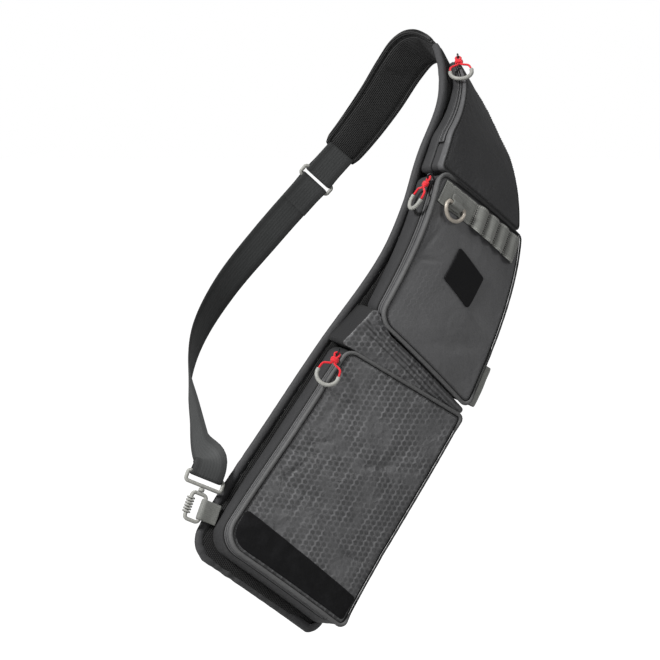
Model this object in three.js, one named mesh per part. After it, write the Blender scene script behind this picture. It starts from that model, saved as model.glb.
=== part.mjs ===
// Sling bag for fishing tackle, worn across the back from the right shoulder to the left hip.
// Sizes are millimetres. The origin is where the bag's narrow end lies on the shoulder,
// with +X to the wearer's right, +Y the way the wearer faces and +Z up.
// Every piece is laid out flat in bag places and then bent to the wearer by the function worn:
// u runs across to the right, v along the bag from its bottom end, n out from the back.
import * as THREE from 'three';

// Driving sizes
const BAG_LENGTH = 675;
const BAG_WIDTH = 172;
const ACROSS_BEND = 900;
const PAD = 9;
const WALL = 2;
const GAP = 0.3;
const PATCH_GAP = 0.6;
const SEAT_GAP = 0.5;
const PIPE_RADIUS = 2.2;
const STRAP_WIDTH = 38;
const STRAP_THICK = 1.8;
const WEBBING_WIDTH = 25;
const CORD_RADIUS = 1.3;
const HOOP_RADIUS = 2.3;
const RING_WIRE = 2.25;

// Where the spine of the bag's back ends on the shoulder
const TOP_END = { x: 0, y: 0, z: 0 };

// The bag's back along its length: share of the length, then degrees
const SPINE = [
  { at: 0.00, lean: 35.0, pitch: 12, turn: 4 },
  { at: 0.20, lean: 36.5, pitch: 6, turn: 6 },
  { at: 0.42, lean: 31.0, pitch: -2, turn: 7 },
  { at: 0.60, lean: 23.5, pitch: 1, turn: 14 },
  { at: 0.74, lean: 13.0, pitch: 12, turn: 25 },
  { at: 0.87, lean: 7.0, pitch: 27, turn: 42 },
  { at: 1.00, lean: 0.0, pitch: 55, turn: 56 },
];

// How far the front stands off the wearer's back
const DEPTHS = [
  { at: 0.00, deep: 62 },
  { at: 0.42, deep: 60 },
  { at: 0.48, deep: 57.5 },
  { at: 0.70, deep: 49 },
  { at: 0.82, deep: 38.5 },
  { at: 0.87, deep: 31 },
  { at: 0.95, deep: 23 },
  { at: 1.00, deep: 18 },
];

// Outlines run from the upper left corner down the left side and round.
// across is a share of the width, along a share of the length, round a corner radius.
const OUTLINES = {
  lower: [
    { across: -0.465, along: 0.412, round: 12 },
    { across: -0.500, along: 0.000, round: 26 },
    { across: 0.480, along: -0.004, round: 8 },
    { across: 0.455, along: 0.416, round: 6 },
  ],
  middle: [
    { across: -0.430, along: 0.752, round: 10 },
    { across: -0.400, along: 0.485, round: 24 },
    { across: 0.455, along: 0.432, round: 8 },
    { across: 0.380, along: 0.700, round: 6 },
  ],
  shoulder: [
    { across: -0.130, along: 0.970, round: 8 },
    { across: -0.160, along: 0.920, round: 40 },
    { across: -0.280, along: 0.865, round: 40 },
    { across: -0.400, along: 0.815, round: 30 },
    { across: -0.430, along: 0.756, round: 6 },
    { across: 0.375, along: 0.704, round: 6 },
    { across: 0.330, along: 0.830, round: 60 },
    { across: 0.250, along: 0.900, round: 60 },
    { across: 0.160, along: 0.985, round: 10 },
  ],
  bridge: [
    { across: -0.440, along: 0.510, round: 6 },
    { across: -0.520, along: 0.4140, round: 4 },
    { across: 0.455, along: 0.4178, round: 4 },
    { across: 0.455, along: 0.4285, round: 4 },
    { across: -0.345, along: 0.4765, round: 10 },
  ],
  band: [
    { across: -0.470, along: 0.068, round: 3 },
    { across: -0.466, along: 0.009, round: 20 },
    { across: 0.448, along: 0.006, round: 4 },
    { across: 0.450, along: 0.053, round: 3 },
  ],
  label: [
    { across: -0.128, along: 0.649, round: 3 },
    { across: -0.148, along: 0.594, round: 3 },
    { across: 0.110, along: 0.567, round: 3 },
    { across: 0.135, along: 0.620, round: 3 },
  ],
};

// The back panel's left and right edges as shares of the bag's width
const BACK_EDGES = [
  { at: 0.000, left: -0.440, right: 0.460 },
  { at: 0.012, left: -0.515, right: 0.502 },
  { at: 0.036, left: -0.556, right: 0.518 },
  { at: 0.200, left: -0.548, right: 0.500 },
  { at: 0.420, left: -0.520, right: 0.472 },
  { at: 0.600, left: -0.448, right: 0.440 },
  { at: 0.700, left: -0.440, right: 0.404 },
  { at: 0.800, left: -0.425, right: 0.358 },
  { at: 0.900, left: -0.285, right: 0.280 },
  { at: 1.000, left: -0.200, right: 0.175 },
];
const BACK_BOTTOM = -13;
const BACK_ROUND = 2.5;

// The rings a pocket shell is drawn from, back to front: inset in mm, spread is the
// share of the way in to the middle, rise the share of the pocket's height, and
// hollow the share of the pocket's back hollow that lifts it off the back panel
const SHELL_RINGS = [
  { inset: 2, spread: 0.7, rise: 0, hollow: 1 },
  { inset: 2, spread: 0.35, rise: 0, hollow: 0.9 },
  { inset: 2, spread: 0, rise: 0, hollow: 0.1 },
  { inset: 0, spread: 0, rise: 0.06 },
  { inset: 0, spread: 0, rise: 'slit foot' },
  { inset: 0, spread: 0, rise: 'slit head' },
  { inset: 0, spread: 0, rise: 0.9 },
  { inset: 2, spread: 0, rise: 0.965 },
  { inset: 2, spread: 0.09, rise: 1 },
  { inset: 2, spread: 0.36, rise: 1 },
  { inset: 2, spread: 0.68, rise: 1 },
];
const SLIT_RING = 4;
const CORNER_STEPS = 3;

// Pockets: puff is the front's rise at its middle, foot and head are the slit's shares of
// the height, hollow how far the back stands in at its middle, step the longest side in mm
const POCKETS = {
  lower: { puff: 4, foot: 0.64, head: 0.85, hollow: 1.2, step: 36 },
  middle: { puff: 3, foot: 0.62, head: 0.84, hollow: 1.8, step: 34 },
  shoulder: { puff: 2, foot: 0.38, head: 0.74, hollow: 2.0, step: 22 },
};

// Main folds and dents of the fronts: the place in shares of the bag's width and length,
// long and wide in mm, turn in degrees
const FOLDS = [
  { across: -0.36, along: 0.348, long: 60, wide: 16, turn: 25, deep: 2.2 },
  { across: -0.28, along: 0.222, long: 55, wide: 14, turn: -35, deep: 2.6 },
  { across: 0.233, along: 0.319, long: 70, wide: 18, turn: 60, deep: 1.6 },
  { across: 0.302, along: 0.163, long: 60, wide: 16, turn: -20, deep: 1.8 },
  { across: 0.174, along: 0.511, long: 60, wide: 16, turn: 20, deep: 1.6 },
  { across: -0.203, along: 0.526, long: 45, wide: 14, turn: -25, deep: 1.4 },
];

// The loop strap's centre line from the bag's top end, over the shoulder, across the chest
// and round the left flank; nx, ny, nz is the way its outer face looks
const ROUTE = [
  { x: 0, y: 24, z: 15, nx: 0.75, ny: -0.25, nz: 0.60 },
  { x: -2, y: 50, z: 22, nx: 0.60, ny: 0.05, nz: 0.80 },
  { x: -7, y: 78, z: 16, nx: 0.45, ny: 0.40, nz: 0.80 },
  { x: -15, y: 103, z: -6, nx: 0.35, ny: 0.70, nz: 0.62 },
  { x: -29, y: 126, z: -40, nx: 0.28, ny: 0.88, nz: 0.38 },
  { x: -55, y: 148, z: -84, nx: 0.20, ny: 0.95, nz: 0.25 },
  { x: -98, y: 166, z: -137, nx: 0.10, ny: 0.99, nz: 0.10 },
  { x: -158, y: 170, z: -202, nx: -0.10, ny: 0.99, nz: 0.00 },
  { x: -218, y: 150, z: -262, nx: -0.40, ny: 0.90, nz: 0.00 },
  { x: -265, y: 108, z: -314, nx: -0.70, ny: 0.70, nz: 0.00 },
  { x: -293, y: 53, z: -357, nx: -0.93, ny: 0.35, nz: 0.00 },
  { x: -306, y: -7, z: -392, nx: -0.98, ny: -0.10, nz: 0.05 },
  { x: -317, y: -64, z: -423, nx: -0.86, ny: -0.50, nz: 0.10 },
];
const ROUTE_STEP = 22;

// The shoulder pad along the route: from the bag's end, then its width and thickness
const SHOULDER_PAD = [
  { from: 5.8, wide: 48, thick: 6 },
  { from: 18, wide: 62, thick: 10 },
  { from: 120, wide: 60, thick: 11 },
  { from: 235, wide: 52, thick: 10 },
  { from: 248, wide: 44, thick: 6 },
];
const TAB_START = 248.4;
const JOINING_RING = 282;

// The slot ring that a strap folds round, its bars along the strap's width
const SLOT_RING = { wide: 44, tall: 12, wire: 2.2, corner: 3.5 };

// The snap hook below its slot ring, fastened in the tab: off is how far its middle stands
// off the bag's half width
const HOOK = { off: -35, along: 0.0756, n: 13.8, turn: 12, neck: 4, neckRadius: 3.6, wide: 17, tall: 31, corner: 4 };
const TAB_WIDTH = 23;

// The D-ring on the middle pocket, its straight bar in a webbing sleeve
const D_RING = { across: -0.2616, along: 0.7052, turn: -14, bar: 28.5, leg: 4, sleeve: 17 };

// Zip pulls: the eye the cord runs through and the foot of the slider's link on the zip,
// in mm out from the pocket's upper left corner, up from it and off the back, then the
// ways along and across the pull as right, up and towards the viewer
const PULLS = {
  lower: {
    eye: { out: 7.2, up: -10.1, n: 58.2 },
    foot: { out: 3.8, up: -11.1, n: 50 },
    along: [-0.43, -0.90, 0.52],
    side: [0.90, -0.43, 0.05],
  },
  middle: {
    eye: { out: 7.04, up: -8.6, n: 39 },
    foot: { out: 3.14, up: -12.1, n: 38.5 },
    along: [-0.52, -0.85, 0.05],
    side: [0.33, -0.15, 0.93],
  },
  shoulder: {
    eye: { out: 6.64, up: -3.75, n: 24 },
    foot: { out: 4.94, up: -4.95, n: 21.8 },
    along: [0.12, -0.60, 0.79],
    side: [0.97, 0.10, 0.00],
  },
};
const LINK = { half: 3.0, wire: 1 };
const VIEW_TURN = -22;
const KNOT_AT = 10;
const HOOP_AT = 27;
const HOOP_HALF = 12.3;
const HOOP_DROP = 14.5;

const rad = THREE.MathUtils.degToRad;
const vec = (x, y, z) => new THREE.Vector3(x, y, z);

// A smooth curve through the rows of a table
function smooth(rows, name, at) {
  const last = rows.length - 1;
  const x = Math.min(Math.max(at, rows[0].at), rows[last].at);
  let i = 0;
  while (i < last - 1 && x > rows[i + 1].at) i += 1;
  const slope = (k) => {
    const a = rows[Math.max(k - 1, 0)];
    const b = rows[Math.min(k + 1, last)];
    return (b[name] - a[name]) / (b.at - a.at);
  };
  const h = rows[i + 1].at - rows[i].at;
  const t = (x - rows[i].at) / h;
  const p = rows[i][name];
  const q = rows[i + 1][name];
  return (2 * t ** 3 - 3 * t ** 2 + 1) * p + (t ** 3 - 2 * t ** 2 + t) * slope(i) * h
    + (-2 * t ** 3 + 3 * t ** 2) * q + (t ** 3 - t ** 2) * slope(i + 1) * h;
}

// The bag's own directions at a share of its length
function spineFrame(share) {
  const lean = rad(smooth(SPINE, 'lean', share));
  const pitch = rad(smooth(SPINE, 'pitch', share));
  const turn = rad(smooth(SPINE, 'turn', share));
  const along = vec(Math.sin(lean) * Math.cos(pitch), Math.sin(pitch), Math.cos(lean) * Math.cos(pitch));
  const flat = vec(Math.sin(lean) * Math.sin(pitch), -Math.cos(pitch), Math.cos(lean) * Math.sin(pitch));
  const side = along.clone().cross(flat);
  const out = flat.multiplyScalar(Math.cos(turn)).addScaledVector(side, Math.sin(turn));
  return { along, out, across: along.clone().cross(out) };
}

// Places along the spine, added up from its shoulder end
const SPINE_STEPS = 400;
const SPINE_PLACES = [];
{
  const place = vec(TOP_END.x, TOP_END.y, TOP_END.z);
  for (let i = SPINE_STEPS; i >= 0; i -= 1) {
    SPINE_PLACES[i] = place.clone();
    if (i > 0) {
      const mean = spineFrame(i / SPINE_STEPS).along.add(spineFrame((i - 1) / SPINE_STEPS).along);
      place.addScaledVector(mean, -BAG_LENGTH / SPINE_STEPS / 2);
    }
  }
}

// Bends a flat bag place to the wearer
function worn(u, v, n) {
  const share = Math.min(Math.max(v / BAG_LENGTH, 0), 1);
  const frame = spineFrame(share);
  const step = Math.min(Math.floor(share * SPINE_STEPS), SPINE_STEPS - 1);
  const place = SPINE_PLACES[step].clone().lerp(SPINE_PLACES[step + 1], share * SPINE_STEPS - step);
  place.addScaledVector(frame.along, v - share * BAG_LENGTH);
  const angle = u / ACROSS_BEND;
  place.addScaledVector(frame.across, (ACROSS_BEND + n) * Math.sin(angle));
  place.addScaledVector(frame.out, (ACROSS_BEND + n) * Math.cos(angle) - ACROSS_BEND);
  return place;
}

// A stiff frame at a bag place, lying on the given level and turned in its face by degrees
function stiffFrame(u, v, level, turn) {
  const at = worn(u, v, level(u, v));
  const right = worn(u + 1, v, level(u + 1, v)).sub(at).normalize();
  const out = right.clone().cross(worn(u, v + 1, level(u, v + 1)).sub(at)).normalize();
  right.applyAxisAngle(out, rad(turn));
  const up = out.clone().cross(right);
  const place = (a, b, c) => at.clone().addScaledVector(right, a).addScaledVector(up, b).addScaledVector(out, c);
  return { at, right, up, out, place };
}

// A closed outline in bag places, its corners rounded and its sides cut to short steps
function outline(rows, arcSteps = 4, longest = 38) {
  const corners = rows.map((row) => new THREE.Vector2(row.across * BAG_WIDTH, row.along * BAG_LENGTH));
  const points = [];
  corners.forEach((corner, i) => {
    const before = corners[(i + corners.length - 1) % corners.length].clone().sub(corner).normalize();
    const after = corners[(i + 1) % corners.length].clone().sub(corner).normalize();
    const half = Math.acos(THREE.MathUtils.clamp(before.dot(after), -1, 1)) / 2;
    const reach = rows[i].round / Math.tan(half);
    const centre = before.clone().add(after).normalize().multiplyScalar(rows[i].round / Math.sin(half)).add(corner);
    const start = before.clone().multiplyScalar(reach).add(corner).sub(centre);
    const end = after.clone().multiplyScalar(reach).add(corner).sub(centre);
    let sweep = end.angle() - start.angle();
    if (sweep > Math.PI) sweep -= 2 * Math.PI;
    if (sweep < -Math.PI) sweep += 2 * Math.PI;
    const steps = Math.max(1, Math.round(arcSteps * Math.abs(sweep) * 2 / Math.PI));
    for (let k = 0; k <= steps; k += 1) {
      points.push(start.clone().rotateAround(new THREE.Vector2(), sweep * k / steps).add(centre));
    }
  });
  const cut = [];
  points.forEach((point, i) => {
    const next = points[(i + 1) % points.length];
    const pieces = Math.max(1, Math.ceil(point.distanceTo(next) / longest));
    for (let k = 0; k < pieces; k += 1) cut.push(point.clone().lerp(next, k / pieces));
  });
  return withOuts(cut);
}

// A closed row of flat places, each with the way that leads out of the outline
function withOuts(points) {
  return points.map((point, i) => {
    const before = points[(i + points.length - 1) % points.length];
    const after = points[(i + 1) % points.length];
    const run = after.clone().sub(before).normalize();
    return { u: point.x, v: point.y, outU: run.y, outV: -run.x };
  });
}

// An outline's point moved out by a distance, or in towards the middle by a share
function moved(point, out, spread, middle) {
  const u = point.u + point.outU * out;
  const v = point.v + point.outV * out;
  return { u: u + (middle.u - u) * spread, v: v + (middle.v - v) * spread };
}

function middleOf(points) {
  const sum = points.reduce((total, p) => ({ u: total.u + p.u, v: total.v + p.v }), { u: 0, v: 0 });
  return { u: sum.u / points.length, v: sum.v / points.length };
}

// The depth that folds and dents take off a front
function foldDepth(u, v) {
  return FOLDS.reduce((sum, fold) => {
    const c = Math.cos(rad(fold.turn));
    const s = Math.sin(rad(fold.turn));
    const du = u - fold.across * BAG_WIDTH;
    const dv = v - fold.along * BAG_LENGTH;
    const a = (du * c + dv * s) / (fold.long / 2);
    const b = (dv * c - du * s) / (fold.wide / 2);
    return sum + fold.deep * Math.exp(-a * a - b * b);
  }, 0);
}

// The level of a pocket's front at a bag place
function frontLevel(name, u, v) {
  const rows = OUTLINES[name];
  const alongs = rows.map((row) => row.along * BAG_LENGTH);
  const low = Math.min(...alongs);
  const high = Math.max(...alongs);
  const x = u / (BAG_WIDTH / 2);
  const y = (2 * v - low - high) / (high - low);
  const puff = POCKETS[name].puff * Math.max(0, 1 - x * x) * Math.max(0, 1 - y * y);
  return smooth(DEPTHS, 'deep', v / BAG_LENGTH) + puff - foldDepth(u, v);
}

// A mesh from places and triangles, turned so that its faces look out
function solid(places, triangles) {
  let volume = 0;
  triangles.forEach(([a, b, c]) => {
    volume += places[a].dot(places[b].clone().cross(places[c]));
  });
  const turned = volume < 0 ? triangles.map(([a, b, c]) => [a, c, b]) : triangles;
  const geometry = new THREE.BufferGeometry();
  geometry.setAttribute('position', new THREE.Float32BufferAttribute(places.flatMap((p) => [p.x, p.y, p.z]), 3));
  geometry.setIndex(turned.flat());
  geometry.computeVertexNormals();
  return geometry;
}

// Joins sections of equal count into one solid, capped at both ends or closed on itself
function loft(sections, closed = false) {
  const count = sections[0].length;
  const places = sections.flat();
  const triangles = [];
  const spans = closed ? sections.length : sections.length - 1;
  for (let s = 0; s < spans; s += 1) {
    const t = (s + 1) % sections.length;
    for (let i = 0; i < count; i += 1) {
      const j = (i + 1) % count;
      triangles.push([s * count + i, s * count + j, t * count + j]);
      triangles.push([s * count + i, t * count + j, t * count + i]);
    }
  }
  if (!closed) {
    [0, sections.length - 1].forEach((s) => {
      const centre = sections[s].reduce((sum, p) => sum.add(p), vec(0, 0, 0)).divideScalar(count);
      const c = places.push(centre) - 1;
      for (let i = 0; i < count; i += 1) {
        const j = (i + 1) % count;
        if (s === 0) triangles.push([c, s * count + j, s * count + i]);
        else triangles.push([c, s * count + i, s * count + j]);
      }
    });
  }
  return solid(places, triangles);
}

// A round tube along places, its ends capped or joined
function tube(path, radius, sides, closed = false) {
  const count = path.length;
  const tangent = (i) => {
    const a = closed ? path[(i + count - 1) % count] : path[Math.max(i - 1, 0)];
    const b = closed ? path[(i + 1) % count] : path[Math.min(i + 1, count - 1)];
    return b.clone().sub(a).normalize();
  };
  const start = tangent(0);
  const guide = Math.abs(start.z) < 0.8 ? vec(0, 0, 1) : vec(1, 0, 0);
  let side = guide.cross(start).normalize();
  const sections = path.map((place, i) => {
    const run = tangent(i);
    side = side.clone().addScaledVector(run, -side.dot(run)).normalize();
    const other = run.clone().cross(side);
    return Array.from({ length: sides }, (_, k) => {
      const angle = 2 * Math.PI * k / sides;
      return place.clone().addScaledVector(side, radius * Math.cos(angle)).addScaledVector(other, radius * Math.sin(angle));
    });
  });
  return loft(sections, closed);
}

function pocketOutline(name) {
  return outline(OUTLINES[name], CORNER_STEPS, POCKETS[name].step);
}

// A hollow pocket with cloth walls, open along a slit where its zip sits
function pocketShell(name) {
  const ring = pocketOutline(name);
  const middle = middleOf(ring);
  const pocket = POCKETS[name];
  const foot = PAD + SEAT_GAP;
  const [first, last] = slitSpan(name, ring);
  const rise = { 'slit foot': pocket.foot, 'slit head': pocket.head };
  const layer = (wall) => SHELL_RINGS.map((row) => ring.map((point) => {
    const place = moved(point, -row.inset - wall, row.spread, middle);
    const height = frontLevel(name, place.u, place.v) - foot;
    const share = rise[row.rise] ?? row.rise;
    const level = THREE.MathUtils.clamp(share * height, wall, height - wall);
    return worn(place.u, place.v, foot + level + (row.hollow ?? 0) * pocket.hollow);
  }));
  const places = [];
  const triangles = [];
  const count = ring.length;
  const rings = SHELL_RINGS.length;
  const addLayer = (wall, flip) => {
    const base = places.length;
    places.push(...layer(wall).flat());
    const back = places.push(worn(middle.u, middle.v, foot + wall + pocket.hollow)) - 1;
    const front = places.push(worn(middle.u, middle.v, frontLevel(name, middle.u, middle.v) - wall)) - 1;
    const face = (a, b, c) => triangles.push(flip ? [a, c, b] : [a, b, c]);
    for (let i = 0; i < count; i += 1) {
      const j = (i + 1) % count;
      face(back, base + j, base + i);
      face(front, base + (rings - 1) * count + i, base + (rings - 1) * count + j);
      for (let r = 0; r < rings - 1; r += 1) {
        if (r === SLIT_RING && i >= first && i < last) continue;
        const low = base + r * count;
        const high = low + count;
        face(low + i, low + j, high + j);
        face(low + i, high + j, high + i);
      }
    }
    return base;
  };
  const outer = addLayer(0, false);
  const inner = addLayer(WALL, true);
  const bridge = (a, b) => {
    const lift = inner - outer;
    triangles.push([a, b, b + lift], [a, b + lift, a + lift]);
  };
  const low = outer + SLIT_RING * count;
  const high = low + count;
  for (let i = first; i < last; i += 1) {
    bridge(low + i, low + i + 1);
    bridge(high + i + 1, high + i);
  }
  bridge(high + first, low + first);
  bridge(low + last, high + last);
  return solid(places, triangles);
}

// The stretch of an outline that carries the zip, as first and last point
function slitSpan(name, ring) {
  const bottom = Math.min(...ring.map((p) => p.v));
  if (name === 'shoulder') {
    const stop = ring.findIndex((p) => p.v < bottom + 0.34 * (ring[0].v - bottom) && p.u < 0);
    return [2, stop];
  }
  const end = ring.findIndex((p) => p.u > 0.4 * BAG_WIDTH);
  return [CORNER_STEPS, end - 1];
}

// A strip along part of an outline, its section given as out and level for each point
function edgeStrip(points, closed, section) {
  const sections = points.map((point) => section(point).map(([out, level]) => {
    const place = moved(point, out, 0, point);
    return worn(place.u, place.v, level);
  }));
  return loft(sections, closed);
}

// The same points with both ends drawn in by a distance
function trimmed(points, by) {
  const ends = (a, b) => {
    const run = Math.hypot(b.u - a.u, b.v - a.v);
    const t = by / run;
    return { ...a, u: a.u + (b.u - a.u) * t, v: a.v + (b.v - a.v) * t };
  };
  const copy = [...points];
  copy[0] = ends(points[0], points[1]);
  copy[copy.length - 1] = ends(points[points.length - 1], points[points.length - 2]);
  return copy;
}

// A zip: flat tape in the pocket's slit with the closed row of teeth standing out of it
const ZIP_SECTION = [
  { share: 0, out: -0.3 },
  { share: 0.34, out: -0.3 },
  { share: 0.42, out: 1.2 },
  { share: 0.58, out: 1.2 },
  { share: 0.66, out: -0.3 },
  { share: 1, out: -0.3 },
  { share: 1, out: -1.7 },
  { share: 0, out: -1.7 },
];

function zip(name) {
  const ring = pocketOutline(name);
  const [first, last] = slitSpan(name, ring);
  const pocket = POCKETS[name];
  const points = trimmed(ring.slice(first, last + 1), 2 * GAP);
  return edgeStrip(points, false, (point) => {
    const height = frontLevel(name, point.u, point.v) - PAD - SEAT_GAP;
    const low = PAD + SEAT_GAP + pocket.foot * height + GAP;
    const high = PAD + SEAT_GAP + pocket.head * height - GAP;
    return ZIP_SECTION.map((row) => [row.out, low + (high - low) * row.share]);
  });
}

// Round piping sewn into the front edge of a pocket
const PIPE_CENTRE = { out: 0, level: 0.1 };

function piping(name) {
  const ring = pocketOutline(name);
  return edgeStrip(ring, true, (point) => {
    const height = frontLevel(name, point.u, point.v) - PAD - SEAT_GAP;
    const level = PAD + SEAT_GAP + height + PIPE_CENTRE.level;
    return Array.from({ length: 6 }, (_, k) => {
      const angle = Math.PI * k / 3;
      return [PIPE_CENTRE.out + PIPE_RADIUS * Math.cos(angle), level + PIPE_RADIUS * Math.sin(angle)];
    });
  });
}

// A padded or flat panel with rounded edges between two levels
function panel(name, low, high, edge, spreads, arcSteps = 4) {
  const ring = outline(OUTLINES[name], arcSteps);
  const middle = middleOf(ring);
  const row = (out, spread, level) => ring.map((point) => {
    const place = moved(point, out, spread, middle);
    return worn(place.u, place.v, level(place.u, place.v));
  });
  const mix = (share) => (u, v) => low(u, v) + (high(u, v) - low(u, v)) * share;
  const inward = [...spreads].reverse();
  return loft([
    ...inward.map((spread) => row(-edge, spread, low)),
    row(-edge, 0, low),
    row(0, 0, mix(0.3)),
    row(0, 0, mix(0.7)),
    row(-edge, 0, high),
    ...spreads.map((spread) => row(-edge, spread, high)),
  ]);
}

// The back panel's stations along the bag, close together where its ends are round
function backStations() {
  const stations = [0, 0.006, 0.014, 0.026];
  for (let share = 0.042; share < 0.985; share += 0.033) stations.push(share);
  return [...stations, 0.992, 1];
}

const BACK_CUTS = [0, 0.25, 0.5, 0.75, 1];

function backPlace(share, cut) {
  const left = smooth(BACK_EDGES, 'left', share) * BAG_WIDTH;
  const right = smooth(BACK_EDGES, 'right', share) * BAG_WIDTH;
  return new THREE.Vector2(left + (right - left) * cut, BACK_BOTTOM + (BAG_LENGTH - BACK_BOTTOM) * share);
}

// The padded panel that lies against the wearer
function backPanel() {
  return loft(backStations().map((share) => {
    const left = backPlace(share, 0);
    const right = backPlace(share, 1);
    const face = (level) => BACK_CUTS.map((cut) => {
      const u = left.x + BACK_ROUND + (right.x - left.x - 2 * BACK_ROUND) * cut;
      return worn(u, left.y, level);
    });
    const side = (u, level) => worn(u, left.y, level * PAD);
    return [
      ...face(0),
      side(right.x, 0.3),
      side(right.x, 0.7),
      ...face(PAD).reverse(),
      side(left.x, 0.7),
      side(left.x, 0.3),
    ];
  }));
}

// The bias tape round the back panel's edge
function backBinding() {
  const stations = backStations();
  const path = [
    ...[...stations].reverse().map((share) => backPlace(share, 0)),
    ...BACK_CUTS.slice(1, -1).map((cut) => backPlace(0, cut)),
    ...stations.map((share) => backPlace(share, 1)),
    ...BACK_CUTS.slice(1, -1).reverse().map((cut) => backPlace(1, cut)),
  ];
  const section = [[GAP, 1.8], [2.4, 2.6], [2.4, 6.4], [GAP, 7.2]];
  return edgeStrip(withOuts(path), true, () => section);
}

// The cloth between the lower and middle pockets, a shallow cup open to the back
function bridgePanel() {
  const ring = outline(OUTLINES.bridge, 2);
  const middle = middleOf(ring);
  const foot = PAD + SEAT_GAP;
  const wall = 1.4;
  const top = (v) => smooth(DEPTHS, 'deep', v / BAG_LENGTH) - 4;
  const row = (inset, spread, rise) => ring.map((point) => {
    const place = moved(point, -inset, spread, middle);
    return worn(place.u, place.v, foot + rise(top(place.v) - foot));
  });
  const whole = (height) => height;
  const under = (height) => height - wall;
  return loft([
    row(wall, 0.85, under),
    row(wall, 0.2, under),
    row(wall, 0, under),
    row(wall, 0, () => 0),
    row(0, 0, () => 0),
    row(0, 0, (height) => 0.5 * height),
    row(0, 0, (height) => height - 1.5),
    row(1, 0, whole),
    row(1, 0.2, whole),
    row(1, 0.85, whole),
  ]);
}

function lowerBand() {
  const level = (lift) => (u, v) => frontLevel('lower', u, v) + lift;
  return panel('band', level(PATCH_GAP), level(PATCH_GAP + 1.2), 0.4, [0.3, 0.7]);
}

function label() {
  const level = (lift) => (u, v) => frontLevel('middle', u, v) + lift;
  return panel('label', level(PATCH_GAP), level(PATCH_GAP + 1.3), 0.4, [0.5], 2);
}

// Webbing across the top of the middle pocket, gathered into loops on its right half
// Its ends are shares of the bag's width and length, the loops' stretch shares of the width.
const BAND_ENDS = { left: { across: -0.3837, along: 0.7215 }, right: { across: 0.3401, along: 0.6748 } };
const BAND_STEPS = 40;
const LOOPS = { start: -0.0872, end: 0.3314, count: 4, rise: 4.2 };

function bandRise(u) {
  const share = (u / BAG_WIDTH - LOOPS.start) / (LOOPS.end - LOOPS.start);
  if (share <= 0 || share >= 1) return 0;
  return LOOPS.rise * Math.sin(Math.PI * share * LOOPS.count) ** 2;
}

function webbingBand() {
  const [left, right] = [BAND_ENDS.left, BAND_ENDS.right].map((end) => (
    { u: end.across * BAG_WIDTH, v: end.along * BAG_LENGTH }));
  const run = Math.hypot(right.u - left.u, right.v - left.v);
  const outU = (left.v - right.v) / run;
  const outV = (right.u - left.u) / run;
  const sections = Array.from({ length: BAND_STEPS + 1 }, (_, i) => {
    const u = left.u + (right.u - left.u) * i / BAND_STEPS;
    const v = left.v + (right.v - left.v) * i / BAND_STEPS;
    const corner = (side, lift) => {
      const x = u + outU * side * WEBBING_WIDTH / 2;
      const y = v + outV * side * WEBBING_WIDTH / 2;
      return worn(x, y, frontLevel('middle', x, y) + PATCH_GAP + bandRise(u) + lift);
    };
    return [corner(-1, 0), corner(1, 0), corner(1, 1.5), corner(-1, 1.5)];
  });
  return loft(sections);
}

// The frame that the D-ring and its sleeve are built in: origin at the middle of the bar
function ringFrame() {
  const level = (u, v) => frontLevel('middle', u, v) + PATCH_GAP + 1.5 + GAP + RING_WIRE + 0.5;
  return stiffFrame(D_RING.across * BAG_WIDTH, D_RING.along * BAG_LENGTH, level, D_RING.turn);
}

function dRing() {
  const frame = ringFrame();
  const half = D_RING.bar / 2;
  const path = [];
  for (let i = 0; i <= 4; i += 1) path.push(frame.place(half - D_RING.bar * i / 4, 0, 0));
  for (let i = 0; i <= 10; i += 1) {
    const angle = Math.PI * i / 10;
    path.push(frame.place(-half * Math.cos(angle), -D_RING.leg - half * Math.sin(angle), 0));
  }
  return tube(path, RING_WIRE, 8, true);
}

// The sleeve is a short piece of webbing laid over the bar and sewn down on both sides
const SLEEVE = [
  { up: 11, lift: -1.75 },
  { up: 5, lift: -1.6 },
  { up: 3.2, lift: 0.6 },
  { up: 2.0, lift: 2.5 },
  { up: 0, lift: 3.3 },
  { up: -2.0, lift: 2.5 },
  { up: -3.2, lift: 0.6 },
  { up: -4.6, lift: -1.6 },
  { up: -6.5, lift: -1.75 },
];

function dRingSleeve() {
  const frame = ringFrame();
  const sections = SLEEVE.map((row, i) => {
    const before = SLEEVE[Math.max(i - 1, 0)];
    const after = SLEEVE[Math.min(i + 1, SLEEVE.length - 1)];
    const run = new THREE.Vector2(after.up - before.up, after.lift - before.lift).normalize();
    const half = D_RING.sleeve / 2;
    const corner = (a, off) => frame.place(a, row.up + run.y * off, row.lift - run.x * off);
    return [corner(-half, -0.5), corner(half, -0.5), corner(half, 0.5), corner(-half, 0.5)];
  });
  return loft(sections);
}

// The loop strap's route as a curve with its outward way at any distance
const HOOK_FRAME = stiffFrame(HOOK.off - BAG_WIDTH / 2, HOOK.along * BAG_LENGTH, () => HOOK.n, HOOK.turn);
const ROUTE_END = HOOK_FRAME.place(0, SLOT_RING.tall, 0);
const ROUTE_CURVE = new THREE.CatmullRomCurve3([
  worn(-3, BAG_LENGTH, 2),
  ...ROUTE.map((row) => vec(row.x, row.y, row.z)),
  HOOK_FRAME.place(0, SLOT_RING.tall + 14, 0),
  ROUTE_END,
], false, 'centripetal');
const ROUTE_OUTS = [
  spineFrame(1).out,
  ...ROUTE.map((row) => vec(row.nx, row.ny, row.nz)),
  HOOK_FRAME.out,
  HOOK_FRAME.out,
];
const ROUTE_LENGTH = ROUTE_CURVE.getLength();

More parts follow.
